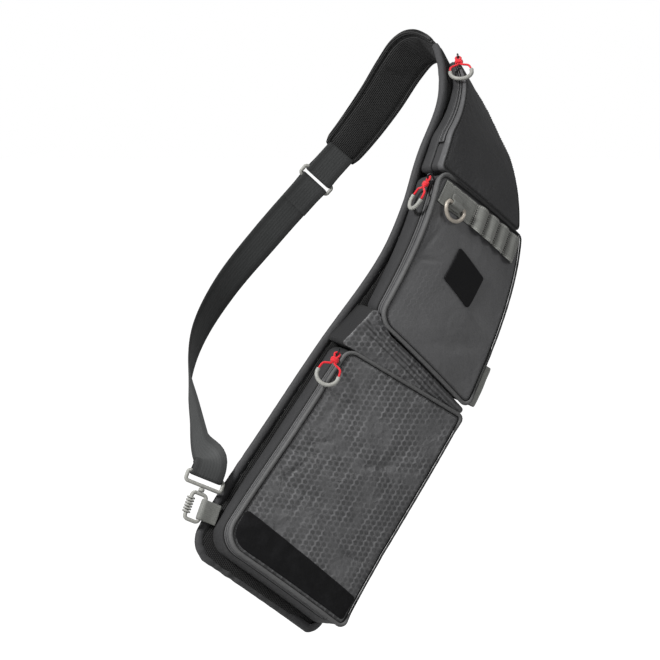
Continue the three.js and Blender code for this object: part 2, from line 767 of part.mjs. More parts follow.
function routeFrame(distance) {
  const share = THREE.MathUtils.clamp(distance / ROUTE_LENGTH, 0, 1);
  const at = ROUTE_CURVE.getPointAt(share);
  const run = ROUTE_CURVE.getTangentAt(share);
  const place = ROUTE_CURVE.getUtoTmapping(share) * (ROUTE_OUTS.length - 1);
  const i = Math.min(Math.floor(place), ROUTE_OUTS.length - 2);
  const out = ROUTE_OUTS[i].clone().lerp(ROUTE_OUTS[i + 1], place - i);
  out.addScaledVector(run, -out.dot(run)).normalize();
  return { at, run, out, across: run.clone().cross(out) };
}

// One rectangle across a strap
function strapSection(at, out, across, wide, thick) {
  const corner = (a, b) => at.clone().addScaledVector(across, a * wide / 2).addScaledVector(out, b * thick / 2);
  return [corner(-1, -1), corner(1, -1), corner(1, 1), corner(-1, 1)];
}

// How far a folded strap's layers stand apart at a distance from the bar it wraps
const LAYER = 1.2;
const FOLD_REACH = 16;
const TAIL = 36;

function layerLift(distance) {
  const open = SLOT_RING.wire + 0.4 + STRAP_THICK / 2;
  const share = Math.min(distance / FOLD_REACH, 1);
  return open + (LAYER - open) * (share * share * (3 - 2 * share));
}

// The turn of a strap round a bar at one end of its stretch of route
function foldSections(distance, way, wide) {
  const frame = routeFrame(distance);
  const reach = layerLift(0);
  return Array.from({ length: 7 }, (_, k) => {
    const angle = Math.PI * (k + 1) / 8;
    const out = frame.out.clone().multiplyScalar(-Math.cos(angle)).addScaledVector(frame.run, -way * Math.sin(angle));
    const at = frame.at.clone().addScaledVector(out, reach);
    return strapSection(at, out, frame.across, wide, STRAP_THICK);
  });
}

function layerSections(from, to, side, bars, wide) {
  const steps = Math.max(3, Math.ceil(Math.abs(to - from) / ROUTE_STEP));
  const stops = Array.from({ length: steps + 1 }, (_, i) => from + (to - from) * i / steps);
  bars.forEach((bar) => {
    [3, 6, 10, 16].forEach((near) => {
      [bar - near, bar + near].forEach((stop) => {
        if ((stop - from) * (stop - to) < 0) stops.push(stop);
      });
    });
  });
  const way = Math.sign(to - from);
  stops.sort((a, b) => way * (a - b));
  const kept = stops.filter((stop, i) => i === 0 || Math.abs(stop - stops[i - 1]) > 1.2);
  return kept.map((stop) => {
    const frame = routeFrame(stop);
    const near = Math.min(...bars.map((bar) => Math.abs(stop - bar)));
    const at = frame.at.clone().addScaledVector(frame.out, side * layerLift(near));
    return strapSection(at, frame.out.clone().multiplyScalar(side), frame.across, wide, STRAP_THICK);
  });
}

// The long strap, folded round the joining ring in front and the hook's ring behind
function loopStrap() {
  const start = JOINING_RING + SLOT_RING.tall;
  const bars = [start, ROUTE_LENGTH];
  const front = foldSections(start, 1, STRAP_WIDTH);
  const rear = foldSections(ROUTE_LENGTH, -1, STRAP_WIDTH).reverse();
  return loft([
    ...layerSections(start + TAIL, start, -1, bars, STRAP_WIDTH),
    ...front,
    ...layerSections(start, ROUTE_LENGTH, 1, bars, STRAP_WIDTH),
    ...rear,
    ...layerSections(ROUTE_LENGTH, ROUTE_LENGTH - TAIL, -1, bars, STRAP_WIDTH),
  ]);
}

// The pad's short tab, folded round the joining ring
function padTab() {
  const bars = [JOINING_RING];
  return loft([
    ...layerSections(TAB_START, JOINING_RING, 1, bars, STRAP_WIDTH),
    ...foldSections(JOINING_RING, -1, STRAP_WIDTH).reverse(),
    ...layerSections(JOINING_RING, TAB_START, -1, bars, STRAP_WIDTH),
  ]);
}

// A ring of wire in a frame, with rounded corners: wide across, tall along
function ringPath(place, wide, tall, corner) {
  const path = [];
  const turns = [[1, 1], [-1, 1], [-1, -1], [1, -1]];
  turns.forEach(([a, b], i) => {
    for (let k = 0; k <= 3; k += 1) {
      const angle = Math.PI / 2 * (i + k / 3);
      const x = a * (wide / 2 - corner) + corner * Math.cos(angle);
      const y = b * (tall / 2 - corner) + corner * Math.sin(angle);
      path.push(place(x, y));
    }
  });
  return path;
}

function joiningRing() {
  const frame = routeFrame(JOINING_RING + SLOT_RING.tall / 2);
  const place = (x, y) => frame.at.clone().addScaledVector(frame.across, x).addScaledVector(frame.run, y);
  return tube(ringPath(place, SLOT_RING.wide, SLOT_RING.tall, SLOT_RING.corner), SLOT_RING.wire, 8, true);
}

function hookRing() {
  const place = (x, y) => HOOK_FRAME.place(x, y + SLOT_RING.tall / 2, 0);
  return tube(ringPath(place, SLOT_RING.wide, SLOT_RING.tall, SLOT_RING.corner), SLOT_RING.wire, 8, true);
}

// The swivel neck, a short turned post between the slot ring and the hook
function hookNeck() {
  const top = -SLOT_RING.wire - GAP;
  const bottom = top - HOOK.neck;
  const sections = [[top, 0.8], [top - 0.8, 1], [bottom + 0.8, 1], [bottom, 0.8]].map(([y, share]) => (
    Array.from({ length: 10 }, (_, k) => {
      const angle = Math.PI * k / 5;
      const reach = HOOK.neckRadius * share;
      return HOOK_FRAME.place(reach * Math.cos(angle), y, reach * Math.sin(angle));
    })));
  return loft(sections);
}

// The closed body of the snap hook
function hookTop() {
  return -SLOT_RING.wire - GAP - HOOK.neck - GAP - SLOT_RING.wire;
}

function hookBody() {
  const middle = hookTop() - HOOK.tall / 2;
  const place = (x, y) => HOOK_FRAME.place(x, y + middle, 0);
  return tube(ringPath(place, HOOK.wide, HOOK.tall, HOOK.corner), SLOT_RING.wire, 8, true);
}

// The webbing tab sewn to the bag's edge, folded round the hook's inner side
const TAB_SECTION = [
  { across: 19.9, lift: 1.0 },
  { across: 12.0, lift: 1.2 },
  { across: 5.0, lift: 2.6 },
  { across: 0, lift: 3.5 },
  { across: -2.4, lift: 2.5 },
  { across: -3.5, lift: 0 },
];

function hookTab() {
  const middle = hookTop() - HOOK.tall / 2;
  const rows = [
    ...TAB_SECTION,
    ...TAB_SECTION.slice(0, -1).reverse().map((row) => ({ across: row.across, lift: -row.lift })),
  ];
  const half = TAB_WIDTH / 2;
  const sections = rows.map((row, i) => {
    const before = rows[Math.max(i - 1, 0)];
    const after = rows[Math.min(i + 1, rows.length - 1)];
    const run = new THREE.Vector2(after.across - before.across, after.lift - before.lift).normalize();
    const corner = (b, off) => HOOK_FRAME.place(
      HOOK.wide / 2 + row.across - run.y * off,
      middle + b * half,
      row.lift + run.x * off,
    );
    return [corner(-1, -0.6), corner(1, -0.6), corner(1, 0.6), corner(-1, 0.6)];
  });
  return loft(sections);
}

// The pad that lies on the shoulder, carrying on from the bag's narrow end
function shoulderPad() {
  const rows = SHOULDER_PAD.map((row) => ({ ...row, at: row.from }));
  const first = rows[0].at;
  const last = rows[rows.length - 1].at;
  const stops = rows.map((row) => row.at);
  for (let at = first + 22; at < last - 16; at += ROUTE_STEP) stops.push(at);
  stops.sort((a, b) => a - b);
  const kept = stops.filter((stop, i) => i === 0 || stop - stops[i - 1] > 3);
  const sections = kept.map((stop) => {
    const frame = routeFrame(stop);
    const wide = smooth(rows, 'wide', stop) / 2;
    const thick = smooth(rows, 'thick', stop);
    const corner = (a, b) => frame.at.clone()
      .addScaledVector(frame.across, a * wide)
      .addScaledVector(frame.out, -1.5 + b * thick);
    return [
      corner(-0.92, 0), corner(0, 0), corner(0.92, 0), corner(1, 0.3),
      corner(1, 0.7), corner(0.92, 1), corner(0, 1.06), corner(-0.92, 1),
      corner(-1, 0.7), corner(-1, 0.3),
    ];
  });
  return loft(sections);
}

// The loop and its tie on the right side of the middle pocket: along is a share of the
// bag's length, off is mm out from the pocket's edge and up mm above the loop's middle
const SIDE_LOOP = { along: 0.4726, wide: 44, thick: 2.2 };
const SIDE_PATH = [
  { off: 0.4, n: 47 },
  { off: 10, n: 47 },
  { off: 17, n: 44 },
  { off: 20, n: 38 },
  { off: 20, n: 28 },
  { off: 17, n: 22 },
  { off: 10, n: 19 },
  { off: 0.4, n: 19 },
];
const SIDE_TIE = [
  { off: 1.2, up: 53 },
  { off: 2.4, up: 47 },
  { off: 7.5, up: 41 },
  { off: 9.5, up: 33 },
  { off: 9.5, up: 23 },
  { off: 9, up: 7 },
];

// The right edge of the middle pocket at a distance along the bag
function rightEdge(v) {
  const [, , foot, head] = OUTLINES.middle;
  const share = (v / BAG_LENGTH - foot.along) / (head.along - foot.along);
  return (foot.across + (head.across - foot.across) * share) * BAG_WIDTH;
}

function sideLoop() {
  const sections = SIDE_PATH.map((row, i) => {
    const before = SIDE_PATH[Math.max(i - 1, 0)];
    const after = SIDE_PATH[Math.min(i + 1, SIDE_PATH.length - 1)];
    const run = new THREE.Vector2(after.off - before.off, after.n - before.n).normalize();
    const corner = (b, off) => {
      const v = SIDE_LOOP.along * BAG_LENGTH + b * SIDE_LOOP.wide / 2;
      return worn(rightEdge(v) + row.off - run.y * off, v, row.n + run.x * off);
    };
    const half = SIDE_LOOP.thick / 2;
    return [corner(-1, -half), corner(1, -half), corner(1, half), corner(-1, half)];
  });
  return loft(sections);
}

function sideTie() {
  const sections = SIDE_TIE.map((row) => {
    const v = SIDE_LOOP.along * BAG_LENGTH + row.up;
    const corner = (b, off) => worn(rightEdge(v) + row.off + off, v, 33 + b * 10);
    return [corner(-1, -0.8), corner(1, -0.8), corner(1, 0.8), corner(-1, 0.8)];
  });
  return loft(sections);
}

// A place by the upper left corner of a pocket
function cornerPlace(name, row) {
  const corner = OUTLINES[name][0];
  return worn(corner.across * BAG_WIDTH - row.out, corner.along * BAG_LENGTH + row.up, row.n);
}

// A zip pull hangs in its own frame from the slider's eye
function pullFrame(name) {
  const row = PULLS[name];
  const at = cornerPlace(name, row.eye);
  const turn = rad(VIEW_TURN);
  const right = vec(Math.cos(turn), Math.sin(turn), 0);
  const toward = vec(Math.sin(turn), -Math.cos(turn), 0);
  const make = ([a, b, c]) => right.clone().multiplyScalar(a).add(vec(0, 0, b)).addScaledVector(toward, c);
  const along = make(row.along).normalize();
  const side = make(row.side);
  side.addScaledVector(along, -side.dot(along)).normalize();
  const face = side.clone().cross(along);
  const place = (a, b, c) => at.clone().addScaledVector(along, a).addScaledVector(side, b).addScaledVector(face, c);
  return { at, along, side, face, place };
}

// The slider's link, a stadium of wire from the zip to the eye that the cord runs through
function slider(name) {
  const frame = pullFrame(name);
  const run = cornerPlace(name, PULLS[name].foot).sub(frame.at);
  run.addScaledVector(frame.side, -run.dot(frame.side));
  const foot = frame.at.clone().add(run);
  run.normalize();
  const wide = frame.side.clone().cross(run).normalize();
  const end = (centre, way) => Array.from({ length: 5 }, (_, k) => {
    const angle = Math.PI * k / 4;
    return centre.clone()
      .addScaledVector(wide, way * LINK.half * Math.cos(angle))
      .addScaledVector(run, way * LINK.half * Math.sin(angle));
  });
  return tube([...end(foot, 1), ...end(frame.at, -1)], LINK.wire, 6, true);
}

function cordPath(frame) {
  const ends = HOOP_AT - GAP - 0.2;
  const curve = new THREE.CatmullRomCurve3([
    frame.place(ends, -HOOP_HALF, 0),
    frame.place(ends - 8, -HOOP_HALF + 2.2, 0),
    frame.place(KNOT_AT + 4, -1.6, 0),
    frame.place(KNOT_AT - 3, -1.5, 0),
    frame.place(3, -2.9, 0),
    frame.place(0, 0, 0),
    frame.place(3, 2.9, 0),
    frame.place(KNOT_AT - 3, 1.5, 0),
    frame.place(KNOT_AT + 4, 1.6, 0),
    frame.place(ends - 8, HOOP_HALF - 2.2, 0),
    frame.place(ends, HOOP_HALF, 0),
  ], false, 'centripetal');
  return curve.getSpacedPoints(24);
}

function pullCord(name) {
  return tube(cordPath(pullFrame(name)), CORD_RADIUS, 6);
}

// The wrapped knot, a short sleeve round both legs of the cord
function pullKnot(name) {
  const frame = pullFrame(name);
  const oval = (a, wide, deep) => Array.from({ length: 10 }, (_, k) => {
    const angle = Math.PI * k / 5;
    return frame.place(KNOT_AT + a, wide * Math.cos(angle), deep * Math.sin(angle));
  });
  return loft([
    oval(-3.2, 4.3, 2.8),
    oval(0, 5.2, 3.6),
    oval(3.2, 4.3, 2.8),
    oval(3.2, 3.5, 1.9),
    oval(-3.2, 3.5, 1.9),
  ], true);
}

function pullHoop(name) {
  const frame = pullFrame(name);
  const path = [frame.place(HOOP_AT, -HOOP_HALF, 0)];
  for (let i = 0; i <= 10; i += 1) {
    const angle = Math.PI * i / 10;
    path.push(frame.place(HOOP_AT + 3 + (HOOP_DROP - 3) * Math.sin(angle), -HOOP_HALF * Math.cos(angle), 0));
  }
  path.push(frame.place(HOOP_AT, HOOP_HALF, 0));
  return tube(path, HOOP_RADIUS, 7);
}

// Materials
const MATERIALS = {
  ripstop: { color: 0x505050, roughness: 0.75, metalness: 0 },
  black_cloth: { color: 0x2c2c2e, roughness: 0.85, metalness: 0 },
  grey_cloth: { color: 0x555555, roughness: 0.85, metalness: 0 },
  mesh: { color: 0x3c3c3c, roughness: 0.95, metalness: 0 },
  binding: { color: 0x5e5e5e, roughness: 0.85, metalness: 0 },
  webbing: { color: 0x5c5e5a, roughness: 0.85, metalness: 0 },
  strap_webbing: { color: 0x3c3d3f, roughness: 0.85, metalness: 0 },
  zip: { color: 0x303030, roughness: 0.6, metalness: 0 },
  red_cord: { color: 0xd01230, roughness: 0.8, metalness: 0 },
  hoop: { color: 0x8a8a86, roughness: 0.5, metalness: 0 },
  ring_metal: { color: 0xa39c92, roughness: 0.4, metalness: 0.6 },
  label: { color: 0x151515, roughness: 0.6, metalness: 0 },
};

const bag = new THREE.Group();
bag.name = 'sling_bag';

function add(name, geometry, look) {
  const mesh = new THREE.Mesh(geometry, new THREE.MeshStandardMaterial(MATERIALS[look]));
  mesh.name = name;
  bag.add(mesh);
}

add('back_panel', backPanel(), 'mesh');
add('back_binding', backBinding(), 'binding');
add('lower_pocket', pocketShell('lower'), 'ripstop');
add('middle_pocket', pocketShell('middle'), 'grey_cloth');
add('shoulder_pocket', pocketShell('shoulder'), 'black_cloth');
add('bridge_panel', bridgePanel(), 'ripstop');
add('lower_zip', zip('lower'), 'zip');
add('middle_zip', zip('middle'), 'zip');
add('shoulder_zip', zip('shoulder'), 'zip');
add('lower_piping', piping('lower'), 'binding');
add('middle_piping', piping('middle'), 'binding');
add('lower_band', lowerBand(), 'black_cloth');
add('label_patch', label(), 'label');
add('webbing_band', webbingBand(), 'webbing');
add('d_ring_sleeve', dRingSleeve(), 'webbing');
add('d_ring', dRing(), 'ring_metal');
add('side_loop', sideLoop(), 'webbing');
add('side_tie', sideTie(), 'strap_webbing');
add('shoulder_pad', shoulderPad(), 'mesh');
add('pad_tab', padTab(), 'strap_webbing');
add('joining_ring', joiningRing(), 'hoop');
add('loop_strap', loopStrap(), 'strap_webbing');
add('hook_ring', hookRing(), 'hoop');
add('hook_neck', hookNeck(), 'hoop');
add('hook_body', hookBody(), 'hoop');
add('hook_tab', hookTab(), 'webbing');
Object.keys(PULLS).forEach((name) => {
  add(`${name}_slider`, slider(name), 'ring_metal');
  add(`${name}_pull_cord`, pullCord(name), 'red_cord');
  add(`${name}_pull_knot`, pullKnot(name), 'red_cord');
  add(`${name}_pull_hoop`, pullHoop(name), 'hoop');
});

export default bag;
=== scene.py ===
"""The sling bag's looks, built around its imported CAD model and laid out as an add-on.

Lengths in the tables are millimetres. A place on the bag is u across to the right, v along it
from its bottom end and n out from the back; the function worn bends it to the wearer.
"""

import math

import bpy
import numpy as np
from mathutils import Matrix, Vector


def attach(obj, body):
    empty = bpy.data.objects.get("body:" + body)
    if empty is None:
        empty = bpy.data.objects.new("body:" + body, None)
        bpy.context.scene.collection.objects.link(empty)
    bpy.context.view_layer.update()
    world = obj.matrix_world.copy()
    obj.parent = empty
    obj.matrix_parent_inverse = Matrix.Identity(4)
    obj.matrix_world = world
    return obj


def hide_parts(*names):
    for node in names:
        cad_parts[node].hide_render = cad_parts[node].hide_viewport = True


bl_info = {
    "name": "Fishing tackle sling bag",
    "version": (1, 0, 0),
    "blender": (4, 5, 0),
    "location": "View3D > Sidebar > Sling bag",
    "description": "Builds the cloth, webbing, zips and fittings of a sling bag",
    "category": "Object",
}

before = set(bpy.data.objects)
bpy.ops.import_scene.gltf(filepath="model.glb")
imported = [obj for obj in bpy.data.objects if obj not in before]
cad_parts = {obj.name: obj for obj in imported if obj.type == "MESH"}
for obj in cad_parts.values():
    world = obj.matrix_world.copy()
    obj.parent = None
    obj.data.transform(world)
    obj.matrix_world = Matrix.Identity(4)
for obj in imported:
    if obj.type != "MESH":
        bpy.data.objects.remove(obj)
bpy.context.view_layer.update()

MM = 0.001
BAG_LENGTH = 675
BAG_WIDTH = 172
ACROSS_BEND = 900
PAD = 9
SEAT_GAP = 0.5
FOOT = PAD + SEAT_GAP
PIPE_RADIUS = 2.2
STRAP_WIDTH = 38
STRAP_THICK = 1.8
WEBBING_WIDTH = 25
CORD_RADIUS = 1.3
HOOP_RADIUS = 2.3
RING_WIRE = 2.25
GAP = 0.3
NOISE_GRID = 64

# The bag's back along its length: share of the length, then degrees
SPINE = {
    "at": (0.00, 0.20, 0.42, 0.60, 0.74, 0.87, 1.00),
    "lean": (35.0, 36.5, 31.0, 23.5, 13.0, 7.0, 0.0),
    "pitch": (12, 6, -2, 1, 12, 27, 55),
    "turn": (4, 6, 7, 14, 25, 42, 56),
}

# How far the front stands off the wearer's back
DEPTHS = {
    "at": (0.00, 0.42, 0.48, 0.70, 0.82, 0.87, 0.95, 1.00),
    "deep": (62, 60, 57.5, 49, 38.5, 31, 23, 18),
}

# Outline corners from the upper left one down the left side and round: share of the
# width, share of the length, corner radius
OUTLINES = {
    "lower": (
        (-0.465, 0.412, 12),
        (-0.500, 0.000, 26),
        (0.480, -0.004, 8),
        (0.455, 0.416, 6),
    ),
    "middle": (
        (-0.430, 0.752, 10),
        (-0.400, 0.485, 24),
        (0.455, 0.432, 8),
        (0.380, 0.700, 6),
    ),
    "shoulder": (
        (-0.130, 0.970, 8),
        (-0.160, 0.920, 40),
        (-0.280, 0.865, 40),
        (-0.400, 0.815, 30),
        (-0.430, 0.756, 6),
        (0.375, 0.704, 6),
        (0.330, 0.830, 60),
        (0.250, 0.900, 60),
        (0.160, 0.985, 10),
    ),
    "bridge": (
        (-0.440, 0.5100, 6),
        (-0.520, 0.4140, 4),
        (0.455, 0.4178, 4),
        (0.455, 0.4285, 4),
        (-0.345, 0.4765, 10),
    ),
    "band": (
        (-0.470, 0.068, 3),
        (-0.466, 0.009, 20),
        (0.448, 0.006, 4),
        (0.450, 0.053, 3),
    ),
    "label": (
        (-0.128, 0.649, 3),
        (-0.148, 0.594, 3),
        (0.110, 0.567, 3),
        (0.135, 0.620, 3),
    ),
}

# The back panel's left and right edges as shares of the bag's width
BACK_EDGES = {
    "at": (0.000, 0.012, 0.036, 0.200, 0.420, 0.600, 0.700, 0.800, 0.900, 1.000),
    "left": (-0.440, -0.515, -0.556, -0.548, -0.520, -0.448, -0.440, -0.425, -0.285, -0.200),
    "right": (0.460, 0.502, 0.518, 0.500, 0.472, 0.440, 0.404, 0.358, 0.280, 0.175),
}
BACK_BOTTOM = -13

# Pockets: the front's rise at its middle, then the zip slit's foot and head as shares of
# the wall's height
PUFF = {"lower": 4, "middle": 3, "shoulder": 2}
SLITS = {"lower": (0.64, 0.85), "middle": (0.62, 0.84), "shoulder": (0.38, 0.74)}

# Main folds of the fronts: share of the width and of the length, long and wide in mm,
# turn in degrees, deep in mm
FOLDS = (
    (-0.360, 0.348, 60, 16, 25, 2.2),
    (-0.280, 0.222, 55, 14, -35, 2.6),
    (0.233, 0.319, 70, 18, 60, 1.6),
    (0.302, 0.163, 60, 16, -20, 1.8),
    (0.174, 0.511, 60, 16, 20, 1.6),
    (-0.203, 0.526, 45, 14, -25, 1.4),
)

# Sharper creases between the main folds, in the same columns
CREASES = (
    (-0.38, 0.205, 34, 5, 20, 1.3),
    (-0.34, 0.180, 30, 4, 75, 1.2),
    (-0.40, 0.160, 26, 5, -30, 1.1),
    (-0.30, 0.240, 30, 5, 50, 0.9),
    (-0.41, 0.255, 22, 4, -15, 0.9),
    (-0.22, 0.150, 44, 7, 5, 1.2),
    (0.05, 0.125, 60, 9, -12, 1.4),
    (0.30, 0.110, 44, 7, 12, 1.1),
    (0.10, 0.265, 50, 8, 35, 0.8),
    (-0.38, 0.330, 30, 5, 8, 1.0),
    (-0.30, 0.690, 24, 4, 30, 0.5),
    (-0.34, 0.640, 30, 5, 70, 0.6),
    (-0.31, 0.610, 26, 4, 15, 0.5),
    (0.20, 0.560, 50, 8, -20, 0.5),
)

# How many times deeper than in the table the sharper creases are pressed
CREASE_DEPTH = 2.4

# How each front is crumpled: height of the broad swells, of the fine crumples, and of
# the puckers along its seams, in mm
CRUMPLES = {"lower": (1.3, 1.1, 0.8), "middle": (0.7, 0.35, 0.6), "shoulder": (0.9, 0.5, 0.6)}

# The loop strap's centre line and the way its outer face looks
ROUTE = (
    (0, 24, 15, 0.75, -0.25, 0.60),
    (-2, 50, 22, 0.60, 0.05, 0.80),
    (-7, 78, 16, 0.45, 0.40, 0.80),
    (-15, 103, -6, 0.35, 0.70, 0.62),
    (-29, 126, -40, 0.28, 0.88, 0.38),
    (-55, 148, -84, 0.20, 0.95, 0.25),
    (-98, 166, -137, 0.10, 0.99, 0.10),
    (-158, 170, -202, -0.10, 0.99, 0.00),
    (-218, 150, -262, -0.40, 0.90, 0.00),
    (-265, 108, -314, -0.70, 0.70, 0.00),
    (-293, 53, -357, -0.93, 0.35, 0.00),
    (-306, -7, -392, -0.98, -0.10, 0.05),
    (-317, -64, -423, -0.86, -0.50, 0.10),
)

# The shoulder pad along the route: distance, width and thickness
SHOULDER_PAD = {
    "at": (5.8, 18, 120, 235, 248),
    "wide": (48, 62, 60, 52, 44),
    "thick": (6, 10, 11, 10, 6),
}

# Along the route: the start of the pad's tab, how far it is sewn into the pad, and the ring
TAB_START = 248.4
SEWN_IN = 7
JOINING_RING = 282

# The slot rings: width and height between wire middles, wire radius, corner radius
RING_WIDE = 44
RING_TALL = 12
SLOT_WIRE = 2.2
RING_CORNER = 3.5

# The snap hook: its middle's place, then its neck and body
HOOK_PLACE = (-121, 51, 13.8)
HOOK_TURN = 12
HOOK_NECK = 4
HOOK_NECK_RADIUS = 3.6
HOOK_WIDE = 17
HOOK_TALL = 31
HOOK_CORNER = 4
HOOK_TOP = -SLOT_WIRE - GAP
HOOK_MIDDLE = HOOK_TOP - HOOK_NECK - GAP - SLOT_WIRE - HOOK_TALL / 2
TAB_WIDTH = 23

# The D-ring: its place and turn, its bar between wire middles, its legs, its sleeve's width
D_RING_PLACE = (-45, 476)
D_RING_TURN = -14
D_RING_BAR = 28.5
D_RING_LEG = 4
SLEEVE_WIDTH = 17

# Zip pulls: eye and slider foot out from the pocket's upper left corner, up from it and
# off the back, then the ways along and across the pull as right, up and to the viewer
PULLS = {
    "lower": ((7.2, -10.1, 58.2), (3.8, -11.1, 50), (-0.43, -0.90, 0.52), (0.90, -0.43, 0.05)),
    "middle": ((7.04, -8.6, 39), (3.14, -12.1, 38.5), (-0.52, -0.85, 0.05), (0.33, -0.15, 0.93)),
    "shoulder": ((6.64, -3.75, 24), (4.94, -4.95, 21.8), (0.12, -0.60, 0.79), (0.97, 0.10, 0.00)),
}
VIEW_TURN = -22

# Down each pull from its eye: the knot and the hoop's ends, then the hoop's half width and
# its drop
KNOT_AT = 10
HOOP_AT = 27
HOOP_HALF = 12.3
HOOP_DROP = 14.5


def unit(way):
    """Vectors of length one, along the last axis."""
    return way / np.linalg.norm(way, axis=-1, keepdims=True)


def distances(line):
    """How far along a line each of its points lies."""
    return np.r_[0, np.cumsum(np.linalg.norm(np.diff(line, axis=0), axis=1))]


def closed_up(ring):
    """A ring with its first point again at its end."""
    return np.vstack([ring, ring[:1]])


def smooth(table, name, at):
    """A smooth curve through one column of a table, at the given values of its first."""
    x = np.array(table["at"], float)
    y = np.array(table[name], float)
    slope = np.empty_like(y)
    slope[1:-1] = (y[2:] - y[:-2]) / (x[2:] - x[:-2])
    slope[0] = (y[1] - y[0]) / (x[1] - x[0])
    slope[-1] = (y[-1] - y[-2]) / (x[-1] - x[-2])
    at = np.clip(at, x[0], x[-1])
    i = np.clip(np.searchsorted(x, at) - 1, 0, len(x) - 2)
    h = x[i + 1] - x[i]
    t = (at - x[i]) / h
    start = (2 * t**3 - 3 * t**2 + 1) * y[i] + (t**3 - 2 * t**2 + t) * slope[i] * h
    return start + (3 * t**2 - 2 * t**3) * y[i + 1] + (t**3 - t**2) * slope[i + 1] * h


def ease(t):
    """A smooth step from 0 to 1."""
    t = np.clip(t, 0, 1)
    return t * t * (3 - 2 * t)


def spine_frame(share):
    """The bag's own directions at shares of its length: along, out, across."""
    lean, pitch, turn = (np.radians(smooth(SPINE, name, share)) for name in ("lean", "pitch", "turn"))
    along = np.stack(
        [np.sin(lean) * np.cos(pitch), np.sin(pitch), np.cos(lean) * np.cos(pitch)], -1
    )
    flat = np.stack(
        [np.sin(lean) * np.sin(pitch), -np.cos(pitch), np.cos(lean) * np.sin(pitch)], -1
    )
    side = np.cross(along, flat)
    out = flat * np.cos(turn)[..., None] + side * np.sin(turn)[..., None]
    return along, out, np.cross(along, out)


SPINE_SHARES = np.linspace(0, 1, 401)


def spine_places():
    """Places along the spine, added up from its shoulder end at the origin."""
    along = spine_frame(SPINE_SHARES)[0]
    steps = (along[1:] + along[:-1]) * BAG_LENGTH / (2 * (len(SPINE_SHARES) - 1))
    places = np.zeros((len(SPINE_SHARES), 3))
    places[:-1] = -np.cumsum(steps[::-1], axis=0)[::-1]
    return places


SPINE_PLACES = spine_places()


def worn(u, v, n):
    """Bends flat bag places to the wearer, in mm."""
    u, v, n = (np.asarray(a, float) for a in np.broadcast_arrays(u, v, n))
    share = np.clip(v / BAG_LENGTH, 0, 1)
    along, out, across = spine_frame(share)
    place = np.stack([np.interp(share, SPINE_SHARES, SPINE_PLACES[:, k]) for k in range(3)], -1)
    place += along * (v - share * BAG_LENGTH)[..., None]
    angle = u / ACROSS_BEND
    reach = ACROSS_BEND + n
    place += across * (reach * np.sin(angle))[..., None]
    return place + out * (reach * np.cos(angle) - ACROSS_BEND)[..., None]


def stiff_frame(u, v, level, turn):
    """A stiff frame at a bag place lying on a level: its origin, right, up and out."""
    at = worn(u, v, level(u, v))
    right = unit(worn(u + 1, v, level(u + 1, v)) - at)
    out = unit(np.cross(right, worn(u, v + 1, level(u, v + 1)) - at))
    c, s = math.cos(math.radians(turn)), math.sin(math.radians(turn))
    right = right * c + np.cross(out, right) * s
    return at, right, np.cross(out, right), out


def framed(stiff, a, b, c):
    """Places in a stiff frame: a to the right, b up, c out."""
    at, right, up, out = stiff
    a, b, c = (np.asarray(x, float)[..., None] for x in np.broadcast_arrays(a, b, c))
    return at + right * a + up * b + out * c


def outline(rows, step):
    """A closed outline in bag places with rounded corners, cut evenly."""
    corners = np.array([(row[0] * BAG_WIDTH, row[1] * BAG_LENGTH) for row in rows])
    points = []
    for i, corner in enumerate(corners):
        radius = rows[i][2]
        before = unit(corners[i - 1] - corner)
        after = unit(corners[(i + 1) % len(corners)] - corner)
        half = math.acos(np.clip(before @ after, -1, 1)) / 2
        centre = corner + unit(before + after) * radius / math.sin(half)
        start = corner + before * radius / math.tan(half) - centre
        end = corner + after * radius / math.tan(half) - centre
        sweep = math.atan2(start[0] * end[1] - start[1] * end[0], start @ end)
        for t in np.linspace(0, sweep, 10):
            c, s = math.cos(t), math.sin(t)
            points.append(centre + (start[0] * c - start[1] * s, start[0] * s + start[1] * c))
    return even(np.array(points), step, True)


def even(points, step, closed):
    """The same line cut to even steps."""
    line = closed_up(points) if closed else points
    gone = distances(line)
    count = max(4, round(gone[-1] / step))
    at = np.linspace(0, gone[-1], count + 1)
    cut = np.stack([np.interp(at, gone, line[:, k]) for k in range(line.shape[1])], -1)
    return cut[:-1] if closed else cut


def outs(ring, closed=True):
    """The way that leads out of an outline at each of its points."""
    if closed:
        run = np.roll(ring, -1, axis=0) - np.roll(ring, 1, axis=0)
    else:
        run = np.gradient(ring, axis=0)
    return unit(np.stack([run[:, 1], -run[:, 0]], -1))


def edge_distance(name, u, v):
    """How far places lie inside an outline, in mm, and below nought outside."""
    ring = outline(OUTLINES[name], 12)
    ways = outs(ring)
    points = np.stack([np.ravel(u), np.ravel(v)], -1).astype(float)
    nearest = np.full(len(points), 1e9)
    sign = np.ones(len(points))
    for i, start in enumerate(ring):
        side = ring[(i + 1) % len(ring)] - start
        t = np.clip(((points - start) @ side) / (side @ side), 0, 1)
        off = points - start - t[:, None] * side
        gap = np.linalg.norm(off, axis=1)
        closer = gap < nearest
        nearest[closer] = gap[closer]
        sign[closer] = np.where((off @ ways[i])[closer] > 0, -1, 1)
    return (nearest * sign).reshape(np.shape(u))


def noise(x, y, seed):
    """Smooth noise from about -1 to 1 over a plane, the same each run."""
    turns = np.random.default_rng(seed).uniform(0, 2 * np.pi, (NOISE_GRID, NOISE_GRID))
    left, low = np.floor(x).astype(int), np.floor(y).astype(int)
    fx, fy = x - left, y - low

    def corner(a, b):
        turn = turns[(left + a) % NOISE_GRID, (low + b) % NOISE_GRID]
        return np.cos(turn) * (fx - a) + np.sin(turn) * (fy - b)

    sx, sy = ease(fx), ease(fy)
    bottom = corner(0, 0) * (1 - sx) + corner(1, 0) * sx
    top = corner(0, 1) * (1 - sx) + corner(1, 1) * sx
    return 1.5 * (bottom * (1 - sy) + top * sy)


